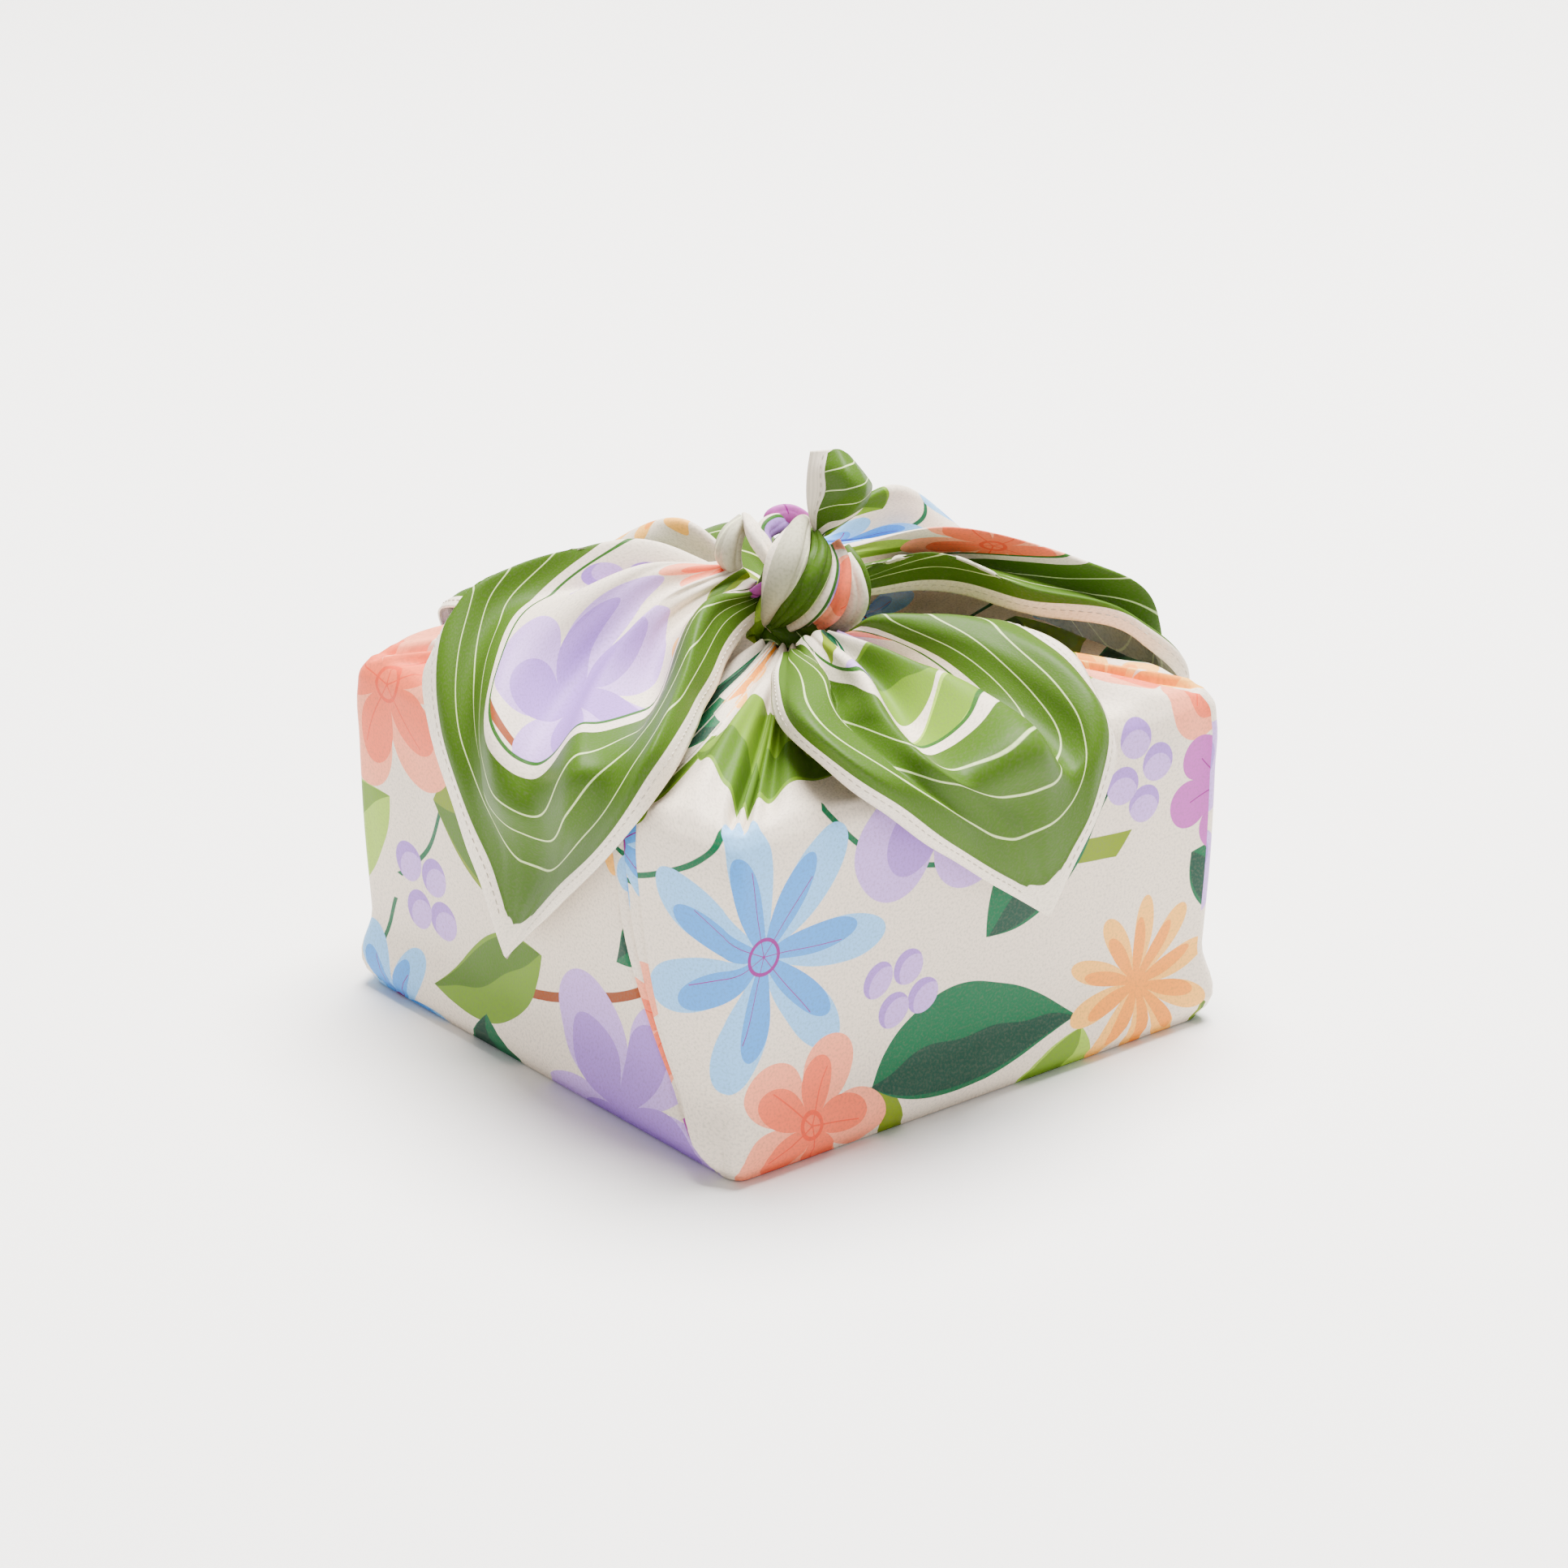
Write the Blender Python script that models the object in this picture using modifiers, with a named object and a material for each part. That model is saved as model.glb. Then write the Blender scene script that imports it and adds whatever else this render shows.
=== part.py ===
"""Furoshiki wrap on a square gift box, tied with four corners.

One square cloth stands round a low box. Its excess lies in pleats beside the
vertical edges, its four corners are gathered over the lid, and two knots,
one above the other, hold them in the middle. The four free corners drape
outwards, one over each side, and one small folded point stands up.

The part is in metres with +Z up. The origin is the middle of the base, on
the surface that the wrap stands on. All sizes below are millimetres.
"""

import math

import bmesh
import bpy
import numpy as np

MM = 0.001

# Driving sizes
BOX_SIDE = 170.0
BOX_HEIGHT = 99.0
FIT_GAP = 0.3
WALL = 1.5
SHEET = 1.2
ROOT_SHARE = 0.3
ROOT_REACH = 0.25

# The wrap leans out a little from its base to its upper edge.
HALF_BASE = 86.8
HALF_MIDDLE = 88.4
HALF_TOP = 89.2
EDGE_RADIUS = 4.5
SIDE_HEIGHT = WALL + FIT_GAP + BOX_HEIGHT + FIT_GAP + WALL + 0.9

# Where the gathered cloth meets the knots
NECK_CENTRE = (-3.0, -8.0)
NECK_RADIUS = 13.0
NECK_HEIGHT = 119.0

# Columns along one side and round one vertical edge
SIDE_COLUMNS = 17
EDGE_STEPS = 3

# Pleats beside the near edge: place along the side at the top edge, from the
# middle of the side, and how far each layer stands out
PLEATS = [
    # (from middle at the top edge, layer height)
    (36.0, 0.8),
    (43.5, 0.8),
    (52.0, 0.8),
]
PLEAT_CURVE = 2.3
PLEAT_STEP = 0.7
PLEAT_STARTS_BY = 12.0
PLEATED_SIDES = (2, 3)

# Heights of the rings up the sides, and how far the cloth stands out there
SIDE_RINGS = [
    # (height, inset from the side's own line)
    (0.0, 1.6),
    (1.6, 0.0),
    (24.0, 0.0),
    (50.0, -0.3),
    (78.0, -0.2),
    (94.0, 0.0),
    (99.5, 0.9),
    (102.6, 2.8),
]
# Rings over the lid, from the upper edge (0) to the neck (1)
LID_RINGS = [0.06, 0.16, 0.32, 0.5, 0.68, 0.84, 1.0]

# The gather that runs from each corner of the lid to the neck
GATHER_VALLEY = -3.5
GATHER_RIDGE = 6.0
RIDGE_PLACE = 17.0
RIDGE_WIDTH = 9.0
VALLEY_WIDTH = 5.0
GATHER_REACH = 1.1
GATHER_FULLNESS = 0.7
LID_CURVE = 1.7
NECK_PLEATS = 20
NECK_PLEAT_HEIGHT = 1.3

# The narrow slit in each gather, where two folds lie beside each other
SLIT_LENGTH = 16.0
SLIT_WIDTH = 1.2
SLIT_DEPTH = 20.0
SLIT_FROM_CENTRE = 96.0

# Stations along an ear, from the knot (0) to its point (1)
EAR_STATIONS = (0.0, 0.22, 0.45, 0.68, 0.86, 1.0)
EAR_ROWS = (0.0, 0.1, 0.2, 0.3, 0.4, 0.5, 0.6, 0.7, 0.8, 0.89, 0.95)
EAR_COLUMNS_PER_FOLD = 2
FOLD_ROUNDNESS = 0.6

# Each ear: the way it points, its corner point, and a row for each fold with
# the share of the cloth's width where the fold lies, then the place of the
# fold at the knot, crown, shoulder, drop and low stations.
# A place is (outwards, sideways, up) from the middle of the base.
EARS = {
    "ear_front_left": {
        "turn": 180.0,
        "point": (98, -3, 40),
        "folds": [
            # (share, knot, crown, shoulder, drop, low)
            (-1.00, (6, -10, 125), (26, -36, 124), (84, -46, 119), (97, -39, 98), (98, -18, 64)),
            (-0.78, (9, -11, 131.5), (35, -29, 144), (78, -46, 132), (99, -30, 104), (99, -12, 70)),
            (-0.52, (11, -9, 133.5), (38, -22, 132), (73, -36, 127), (96, -20, 102), (98.5, -5, 75)),
            (-0.30, (13, -8, 137), (41, -16, 140), (76, -22, 127), (102, -3, 105), (99, 5, 79)),
            (0.00, (14, -5, 138), (43, -9, 132), (72, -7, 115), (98, 12, 99), (98.5, 14, 80)),
            (0.28, (14, -2, 138), (42, -3, 134), (68, 3, 119), (102, 36, 110), (99.5, 24, 82)),
            (0.52, (13, 1, 136), (40, 1, 126), (60, 15, 114), (92, 44, 112), (99, 33, 85)),
            (0.78, (11, 3, 132), (35, 11, 136), (60, 31, 127), (93, 57, 118), (100, 42, 88)),
            (1.00, (8, 4, 127), (24, 9, 121), (49, 28, 116), (85, 61, 110), (99, 46, 87)),
        ],
    },
    "ear_front_right": {
        "turn": 270.0,
        "point": (100, 14, 57),
        "folds": [
            (-1.00, (20, -16, 117), (41, -38, 121), (66, -53, 118), (95, -44, 103), (100, -17, 80)),
            (-0.84, (22, -16, 120), (57, -45, 127), (83, -55, 124), (101, -43, 108), (102, -15, 83)),
            (-0.68, (24, -15, 122), (57, -30, 127), (76, -39, 120), (101, -38, 110), (103, -12, 86)),
            (-0.50, (25, -13, 124), (48, -21, 115), (62, -29, 113), (98, -33, 108), (103, -8, 88)),
            (-0.32, (26, -11, 125), (55, -18, 125), (78, -27, 120), (101, -28, 112), (103.5, -4, 89)),
            (-0.08, (27, -8, 125.5), (46, -3, 113), (74, -12, 107), (101, -17, 107), (103.5, 2, 90)),
            (0.18, (27, -5, 125), (44, 4, 122), (72, 9, 118), (104, 5, 113), (104, 9, 91)),
            (0.42, (26, -2, 123.5), (42, 13, 114), (73, 21, 109), (97, 21, 102), (103, 18, 90)),
            (0.72, (24, 1, 121), (34, 8, 128), (54, 32, 126), (92, 37, 113), (102, 28, 90)),
            (1.00, (21, 2, 118), (30, 24, 121), (56, 52, 118), (91, 44, 101), (100, 34, 88)),
        ],
    },
    "ear_back_right": {
        "turn": 0.0,
        "point": (99, -24, 42),
        "folds": [
            (-1.00, (8, -9, 126), (45, -12, 121), (60, -40, 118), (84, -58, 110), (99, -62, 84)),
            (-0.80, (10, -9, 131), (38, -19, 136), (56, -40, 128), (84, -58, 117), (101, -62, 90)),
            (-0.52, (12, -8, 135), (46, -12, 130), (68, -32, 124), (90, -46, 112), (99, -54, 87)),
            (-0.22, (13, -5, 138), (46, -18, 142), (78, -40, 131), (99, -50, 114), (103, -45, 80)),
            (0.10, (13, -1, 139), (46, -4, 134), (76, -14, 122), (98, -28, 104), (100, -35, 75)),
            (0.42, (13, 3, 138), (40, 0, 151), (74, 6, 126), (101, -6, 100), (102, -20, 70)),
            (0.72, (11, 6, 134), (42, 22, 128), (76, 30, 118), (97, 14, 94), (99, -8, 66)),
            (1.00, (9, 8, 129), (34, 34, 122), (72, 46, 114), (98, 32, 90), (100, 4, 62)),
        ],
    },
    "ear_back_left": {
        "turn": 90.0,
        "point": (100, 10, 48),
        "folds": [
            (-1.00, (13, -6, 116), (30, -28, 116), (62, -46, 113), (96, -36, 96), (100, -10, 70)),
            (-0.72, (13, -7, 120), (34, -24, 128), (70, -36, 122), (100, -28, 100), (103, -6, 74)),
            (-0.36, (13, -5, 124), (40, -8, 120), (70, -14, 114), (98, -12, 96), (101, 2, 72)),
            (0.05, (13, 0, 126), (30, 14, 145), (66, 14, 126), (100, 12, 102), (103, 12, 74)),
            (0.40, (13, 5, 125), (40, 22, 124), (68, 30, 117), (97, 28, 99), (101, 20, 74)),
            (0.72, (13, 8, 121), (40, 34, 130), (72, 46, 121), (96, 46, 107), (102, 30, 78)),
            (1.00, (12, 8, 117), (34, 44, 117), (66, 56, 115), (94, 54, 106), (100, 36, 78)),
        ],
    },
}

# The small point that stands up behind the knot: a row for each fold, with
# its place (x, y, z) at the root, waist, belly, brow and top
POINT_STATIONS = (0.0, 0.25, 0.55, 0.8, 1.0)
POINT_ROWS = 6
POINT_FOLDS = [
    # (share, root, waist, belly, brow, top)
    (0.00, (-3, -6, 142), (-1, -6, 151), (-1, -5, 161), (0, -5, 168), (0, -6, 173.5)),
    (0.25, (-1, -10, 142), (2, -10, 151), (4, -10, 161), (4, -9, 168), (4, -9, 174)),
    (0.50, (3, -12, 142), (6, -14, 151), (9, -17, 162), (9, -14, 169), (7, -11, 174.5)),
    (0.75, (7, -12, 142), (11, -16, 150), (17, -22, 161), (14, -18, 167), (10, -13, 172)),
    (1.00, (9, -8, 142), (14, -11, 150), (20, -17, 159), (17, -12, 165), (13, -9, 169)),
]

# Strands of the knots: a path, a half width across and a half depth at each
# of its places, and how many pleats run along it
STRANDS = {
    # name: (pleats, twist in turns, [(x, y, z, half width, half depth), ...])
    "under_knot": (9, 0.15, [
        (-20, -22, 118, 7, 6), (-10, -15, 120, 14, 9), (2, -5, 121, 17, 10),
        (12, 8, 121, 13, 9), (18, 18, 118, 7, 6),
    ]),
    "wrap_band": (7, 0.1, [
        (8, 10, 132, 8, 7), (3, 3, 144, 12, 8), (-2, -12, 145, 13, 8),
        (-4, -24, 137, 13, 7), (-6, -25, 127, 11, 6), (-4, -14, 122, 8, 6),
    ]),
    "left_roll": (5, 0.25, [
        (0, 2, 129, 6, 5), (-7, 7, 139, 7, 6), (-16, 5, 142, 7, 6),
        (-24, -2, 138, 7, 5), (-26, -9, 130, 5, 4),
    ]),
    "right_roll": (5, 0.2, [
        (6, -2, 142, 7, 6), (14, -14, 141, 7, 6), (15, -23, 133, 7, 6),
        (8, -26, 125, 7, 5), (0, -18, 121, 6, 5),
    ]),
}
STRAND_SIDES = 14
STRAND_ROWS = 10
STRAND_PLEAT = 0.09

# The thin folded sheets are joined by the solver that keeps them whole.
THIN_SHEET_SOLVER = "MANIFOLD"

CLOTH_COLOUR = (0.83, 0.80, 0.76, 1.0)
BOX_COLOUR = (0.62, 0.55, 0.46, 1.0)


def clear_scene():
    """Remove the objects that a new file starts with."""
    for item in list(bpy.data.objects):
        bpy.data.objects.remove(item, do_unlink=True)


def new_collection(name):
    """Make a collection in the scene."""
    collection = bpy.data.collections.new(name)
    bpy.context.scene.collection.children.link(collection)
    return collection


def make_material(name, colour, roughness):
    """Plain material with the piece's own colour."""
    material = bpy.data.materials.new(name)
    material.use_nodes = True
    shader = material.node_tree.nodes["Principled BSDF"]
    shader.inputs["Base Color"].default_value = colour
    shader.inputs["Roughness"].default_value = roughness
    shader.inputs["Metallic"].default_value = 0.0
    return material


def add_object(name, mesh, collection, material=None):
    """Put a mesh into a collection as a named object."""
    item = bpy.data.objects.new(name, mesh)
    collection.objects.link(item)
    if material is not None:
        mesh.materials.append(material)
    return item


def hide_operand(item):
    """Mark an object that only shapes another one."""
    item.hide_render = True
    item.display_type = "WIRE"


def smooth_through(knots, values, places, roundness=1.0):
    """Read a smooth curve through values at knots, with its bends as full as roundness says."""
    knots = np.asarray(knots, float)
    values = np.asarray(values, float)
    slopes = np.gradient(values, knots, axis=0) * roundness
    places = np.asarray(places, float)
    span = np.clip(np.searchsorted(knots, places, side="right") - 1, 0, len(knots) - 2)
    width = knots[span + 1] - knots[span]
    part = (places - knots[span]) / width
    shape = (-1,) + (1,) * (values.ndim - 1)
    part = part.reshape(shape)
    width = width.reshape(shape)
    start = (1 + 2 * part) * (1 - part) ** 2 * values[span]
    end = part ** 2 * (3 - 2 * part) * values[span + 1]
    leave = part * (1 - part) ** 2 * width * slopes[span]
    arrive = part ** 2 * (part - 1) * width * slopes[span + 1]
    return start + end + leave + arrive


def mesh_from_grid(name, grid, closed_across=False, start_cap=False, end_point=None, end_cap=False):
    """Loft a grid of rows into faces, with an optional cap or point at an end."""
    rows, columns = grid.shape[:2]
    bm = bmesh.new()
    verts = [[bm.verts.new(tuple(place * MM)) for place in row] for row in grid]
    across = columns if closed_across else columns - 1
    for r in range(rows - 1):
        for c in range(across):
            n = (c + 1) % columns
            bm.faces.new((verts[r][c], verts[r][n], verts[r + 1][n], verts[r + 1][c]))
    for wanted, row, places in ((start_cap, verts[0], grid[0]), (end_cap, verts[-1], grid[-1])):
        if wanted:
            middle = bm.verts.new(tuple(places.mean(axis=0) * MM))
            for c in range(columns):
                bm.faces.new((row[c], row[(c + 1) % columns], middle))
    if end_point is not None:
        tip = bm.verts.new(tuple(np.asarray(end_point, float) * MM))
        for c in range(across):
            bm.faces.new((verts[-1][c], verts[-1][(c + 1) % columns], tip))
    bmesh.ops.recalc_face_normals(bm, faces=bm.faces)
    mesh = bpy.data.meshes.new(name)
    bm.to_mesh(mesh)
    bm.free()
    for polygon in mesh.polygons:
        polygon.use_smooth = True
    return mesh


def side_half(height):
    """Half of the wrap's width at a height."""
    return float(smooth_through(
        (0.0, SIDE_HEIGHT / 2, SIDE_HEIGHT),
        (HALF_BASE, HALF_MIDDLE, HALF_TOP), [height])[0])


def pleat_place(at_top, at_base, height):
    """Place of a pleat along its side: it starts at the base corner and leans away."""
    low = 1.0 - min(height / SIDE_HEIGHT, 1.0)
    return at_top + (at_base - at_top) * low ** PLEAT_CURVE


def side_track(half, height, pleated):
    """Places along one side, from its start to its end, with the rise of each above the side."""
    reach = half - EDGE_RADIUS
    pleats = PLEATS if pleated else []
    plain = SIDE_COLUMNS - 2 * len(pleats)
    plain_end = reach
    track = []
    raised = 0.0
    for index, (from_middle, layer) in enumerate(pleats):
        at_base = reach - 2 * PLEAT_STEP * (len(pleats) - index)
        place = pleat_place(from_middle, at_base, height)
        plain_end = min(plain_end, place)
        track.append((place, raised))
        raised += layer
        track.append((place + PLEAT_STEP, raised))
    step = (plain_end + reach) / (plain + 1)
    return [(-reach + step * (i + 1), 0.0) for i in range(plain)] + track


def wrap_ring(height, inset):
    """One level ring of the wrap: rounded vertical edges, pleats on two sides."""
    half = side_half(height) - inset
    reach = half - EDGE_RADIUS
    places = []
    for side in range(4):
        turn = math.radians(90.0 * side)
        pleated = side in PLEATED_SIDES
        fade = min(1.0, height / PLEAT_STARTS_BY)
        row = []
        # the vertical edge at the start of this side, then the side itself
        for step in range(EDGE_STEPS + 1):
            angle = math.radians(-180.0 + 90.0 * step / EDGE_STEPS)
            row.append((-reach + EDGE_RADIUS * math.cos(angle), -reach + EDGE_RADIUS * math.sin(angle)))
        for along, raised in side_track(half, height, pleated):
            row.append((along, -half - raised * fade))
        for x, y in row:
            places.append((
                x * math.cos(turn) - y * math.sin(turn),
                x * math.sin(turn) + y * math.cos(turn),
                height,
            ))
    return np.array(places)


def gather_height(along, share):
    """Rise of the lid's cloth beside a corner: a valley with a ridge on each side."""
    ridge = GATHER_RIDGE * math.exp(-((along - RIDGE_PLACE) / RIDGE_WIDTH) ** 2)
    valley = GATHER_VALLEY * math.exp(-(along / VALLEY_WIDTH) ** 2)
    return (ridge + valley) * math.sin(math.pi * min(1.0, share * GATHER_REACH)) ** GATHER_FULLNESS


def lid_ring(edge_ring, share):
    """One ring of the lid, between the upper edge and the neck."""
    places = []
    for x, y, _ in edge_ring:
        angle = math.atan2(y, x)
        neck_x = NECK_CENTRE[0] + NECK_RADIUS * math.cos(angle)
        neck_y = NECK_CENTRE[1] + NECK_RADIUS * math.sin(angle)
        near_corner = abs(abs(x) - abs(y))
        rise = (NECK_HEIGHT - SIDE_HEIGHT) * share ** LID_CURVE
        rise += gather_height(near_corner, share)
        rise += NECK_PLEAT_HEIGHT * math.cos(NECK_PLEATS * angle) * share ** 2
        places.append((
            x + (neck_x - x) * share,
            y + (neck_y - y) * share,
            SIDE_HEIGHT + rise,
        ))
    return np.array(places)


def make_wrap_body(collection):
    """The cloth round the box, closed below and at the neck."""
    rings = [wrap_ring(height, inset) for height, inset in SIDE_RINGS]
    edge = rings[-1]
    rings += [lid_ring(edge, share) for share in LID_RINGS]
    mesh = mesh_from_grid("cloth", np.array(rings), closed_across=True, start_cap=True, end_cap=True)
    return add_object("cloth", mesh, collection)


def turned(places, degrees):
    """Turn (outwards, sideways, up) places round the middle of the base."""
    angle = math.radians(degrees)
    out = places[..., 0]
    side = places[..., 1]
    return np.stack([
        out * math.cos(angle) - side * math.sin(angle),
        out * math.sin(angle) + side * math.cos(angle),
        places[..., 2],
    ], axis=-1)


def fold_grid(folds, stations, rows, columns_per_fold, point=None):
    """Smooth sheet through a table of folds, as rows of places."""
    shares = [fold[0] for fold in folds]
    table = [list(fold[1:]) + ([point] if point is not None else []) for fold in folds]
    along = smooth_through(stations, np.swapaxes(np.array(table, float), 0, 1), rows)
    across_places = []
    for low, high in zip(shares[:-1], shares[1:]):
        across_places += [low + (high - low) * i / columns_per_fold for i in range(columns_per_fold)]
    across_places.append(shares[-1])
    across = smooth_through(shares, np.swapaxes(along, 0, 1), across_places, FOLD_ROUNDNESS)
    return np.swapaxes(across, 0, 1)


def make_ear(name, ear, collection):
    """One draped corner of the cloth, as a sheet with its main folds."""
    grid = fold_grid(ear["folds"], EAR_STATIONS, EAR_ROWS, EAR_COLUMNS_PER_FOLD, ear["point"])
    grid = turned(grid, ear["turn"])
    point = turned(np.array(ear["point"], float), ear["turn"])
    mesh = mesh_from_grid(name, grid, end_point=point)
    item = add_object(name, mesh, collection)
    thicken(item, EAR_ROWS, grid.shape[1])
    return item


def make_standing_point(collection):
    """The small folded point above the knot."""
    rows = [i / POINT_ROWS for i in range(POINT_ROWS + 1)]
    grid = fold_grid(POINT_FOLDS, POINT_STATIONS, rows, EAR_COLUMNS_PER_FOLD)
    item = add_object("standing_point", mesh_from_grid("standing_point", grid), collection)
    thicken(item, rows, grid.shape[1])
    return item


def thicken(item, rows, columns):
    """Give a sheet its thickness, half to each side, and less where it goes into the knot."""
    share = item.vertex_groups.new(name="share_of_thickness")
    for index, row in enumerate(rows):
        weight = min(1.0, ROOT_SHARE + (1.0 - ROOT_SHARE) * row / ROOT_REACH)
        share.add(list(range(index * columns, (index + 1) * columns)), weight, "REPLACE")
    rest = list(range(len(rows) * columns, len(item.data.vertices)))
    if rest:
        share.add(rest, 1.0, "REPLACE")
    wall = item.modifiers.new("thickness", "SOLIDIFY")
    wall.thickness = SHEET * MM
    wall.offset = 0.0
    wall.use_even_offset = False
    wall.vertex_group = share.name


def make_strand(name, pleats, twist, stops, collection):
    """A pleated strand of the knot: lobed sections along a smooth path."""
    stops = np.array(stops, float)
    knots = np.linspace(0.0, 1.0, len(stops))
    shares = np.linspace(0.0, 1.0, STRAND_ROWS)
    line = smooth_through(knots, stops, shares)
    centres = line[:, :3]
    forward = np.gradient(centres, axis=0)
    forward /= np.linalg.norm(forward, axis=1)[:, None]
    rows = []
    across = np.cross(forward[0], (0.0, 0.0, 1.0))
    for index, share in enumerate(shares):
        across = across - forward[index] * np.dot(across, forward[index])
        across /= np.linalg.norm(across)
        outward = np.cross(across, forward[index])
        row = []
        for step in range(STRAND_SIDES):
            angle = math.tau * step / STRAND_SIDES
            lobe = 1.0 + STRAND_PLEAT * math.cos(pleats * angle + math.tau * twist * share)
            row.append(
                centres[index]
                + across * line[index, 3] * lobe * math.cos(angle)
                + outward * line[index, 4] * lobe * math.sin(angle))
        rows.append(row)
    mesh = mesh_from_grid(name, np.array(rows), closed_across=True, start_cap=True, end_cap=True)
    return add_object(name, mesh, collection)


def make_block(name, size, centre, turn, collection):
    """A plain block, placed in its mesh."""
    bm = bmesh.new()
    bmesh.ops.create_cube(bm, size=1.0)
    bmesh.ops.scale(bm, vec=[s * MM for s in size], verts=bm.verts)
    mesh = bpy.data.meshes.new(name)
    bm.to_mesh(mesh)
    bm.free()
    item = add_object(name, mesh, collection)
    item.location = [c * MM for c in centre]
    item.rotation_euler = (0.0, 0.0, math.radians(turn))
    return item


def combine(target, other, operation, solver="EXACT"):
    """Join an operand to the target, or cut it away."""
    step = target.modifiers.new(f"{operation.lower()}_{other.name}", "BOOLEAN")
    step.operation = operation
    step.object = other
    step.solver = solver
    hide_operand(other)


def make_cloth(parts, operands):
    """The whole furoshiki as one solid."""
    cloth = make_wrap_body(parts)
    cloth.data.materials.append(make_material("printed_satin", CLOTH_COLOUR, 0.5))
    room = BOX_SIDE + 2 * FIT_GAP
    tall = BOX_HEIGHT + 2 * FIT_GAP
    cavity = make_block("box_room", (room, room, tall), (0, 0, WALL + tall / 2), 0.0, operands)
    combine(cloth, cavity, "DIFFERENCE")
    for corner in range(4):
        turn = 45.0 + 90.0 * corner
        angle = math.radians(turn)
        centre = (SLIT_FROM_CENTRE * math.cos(angle), SLIT_FROM_CENTRE * math.sin(angle), SIDE_HEIGHT)
        size = (SLIT_LENGTH, SLIT_WIDTH, SLIT_DEPTH)
        slit = make_block(f"gather_slit_{corner + 1}", size, centre, turn, operands)
        combine(cloth, slit, "DIFFERENCE")
    for name, (pleats, twist, stops) in STRANDS.items():
        combine(cloth, make_strand(name, pleats, twist, stops, operands), "UNION")
    for name, ear in EARS.items():
        combine(cloth, make_ear(name, ear, operands), "UNION", THIN_SHEET_SOLVER)
    combine(cloth, make_standing_point(operands), "UNION", THIN_SHEET_SOLVER)
    return cloth


def make_box(parts):
    """The gift box that the cloth is fitted over."""
    centre = (0, 0, WALL + FIT_GAP + BOX_HEIGHT / 2)
    box = make_block("box", (BOX_SIDE, BOX_SIDE, BOX_HEIGHT), centre, 0.0, parts)
    box.data.materials.append(make_material("box_card", BOX_COLOUR, 0.8))
    return box


def main():
    """Build the wrap and its box."""
    clear_scene()
    parts = new_collection("furoshiki_wrap")
    operands = new_collection("shaping_pieces")
    make_cloth(parts, operands)
    make_box(parts)


main()
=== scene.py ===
# %% [markdown]
# # A furoshiki round a gift box
# A furoshiki is one square cloth. Here it stands round a low box, its corners
# are tied twice over the lid, and the four free corners drape over the sides.
# The solids of the part are the fixed frame: every piece below lies on them.

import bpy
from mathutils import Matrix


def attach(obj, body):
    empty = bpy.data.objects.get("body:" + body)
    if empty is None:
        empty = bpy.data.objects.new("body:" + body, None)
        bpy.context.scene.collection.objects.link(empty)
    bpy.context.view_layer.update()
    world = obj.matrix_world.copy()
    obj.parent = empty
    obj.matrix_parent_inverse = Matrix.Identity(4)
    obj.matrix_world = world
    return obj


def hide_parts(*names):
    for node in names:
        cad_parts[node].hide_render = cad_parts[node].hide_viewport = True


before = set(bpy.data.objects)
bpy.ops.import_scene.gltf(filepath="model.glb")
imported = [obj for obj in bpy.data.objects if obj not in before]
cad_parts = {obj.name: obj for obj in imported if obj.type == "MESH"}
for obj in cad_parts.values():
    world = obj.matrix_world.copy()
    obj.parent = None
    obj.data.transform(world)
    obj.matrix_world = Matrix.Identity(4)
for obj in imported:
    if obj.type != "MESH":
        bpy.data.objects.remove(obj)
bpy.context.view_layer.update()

# %% Tools used below
import math

import bmesh
import bpy
import numpy as np

MM = 0.001
BODY = "root"
CLOTH_NODE = "cloth"
BOX_NODE = "box"

# %% [markdown]
# ## Camera
# The picture was taken with a long lens from a little above the box's near
# edge. A long lens keeps the box's upright edges nearly parallel, so the lens,
# and not only the place of the camera, has to be right.

# %% Camera
CAMERA_PLACE = (-0.8860, -1.0977, 0.6487)
CAMERA_LOOKS_DOWN = 22.36
CAMERA_HEADING = 38.91
LENS_MM = 121.1
SENSOR_MM = 36.0

camera_data = bpy.data.cameras.new("camera")
camera_data.lens = LENS_MM
camera_data.sensor_width = SENSOR_MM
camera = bpy.data.objects.new("camera", camera_data)
camera.location = CAMERA_PLACE
camera.rotation_euler = (math.radians(90.0 - CAMERA_LOOKS_DOWN), 0.0, math.radians(-CAMERA_HEADING))
bpy.context.scene.collection.objects.link(camera)
bpy.context.scene.camera = camera
print("camera", CAMERA_PLACE, "lens", LENS_MM)

# %% [markdown]
# ## Helpers for sheets of cloth
# Every sheet here is a grid of places, row by row from the knot outwards. A
# short table gives the main folds, and a smooth curve is read through it in
# both directions. The same curve is used for the solids, so the fine sheet
# lies on its solid and only adds the small folds.

# %% Smooth curve through a table
def smooth_through(knots, values, places, roundness=1.0):
    """Read a smooth curve through values at knots, with its bends as full as roundness says."""
    knots = np.asarray(knots, float)
    values = np.asarray(values, float)
    slopes = np.gradient(values, knots, axis=0) * roundness
    places = np.asarray(places, float)
    span = np.clip(np.searchsorted(knots, places, side="right") - 1, 0, len(knots) - 2)
    width = knots[span + 1] - knots[span]
    part = (places - knots[span]) / width
    shape = (-1,) + (1,) * (values.ndim - 1)
    part = part.reshape(shape)
    width = width.reshape(shape)
    start = (1 + 2 * part) * (1 - part) ** 2 * values[span]
    end = part ** 2 * (3 - 2 * part) * values[span + 1]
    leave = part * (1 - part) ** 2 * width * slopes[span]
    arrive = part ** 2 * (part - 1) * width * slopes[span + 1]
    return start + end + leave + arrive


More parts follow.
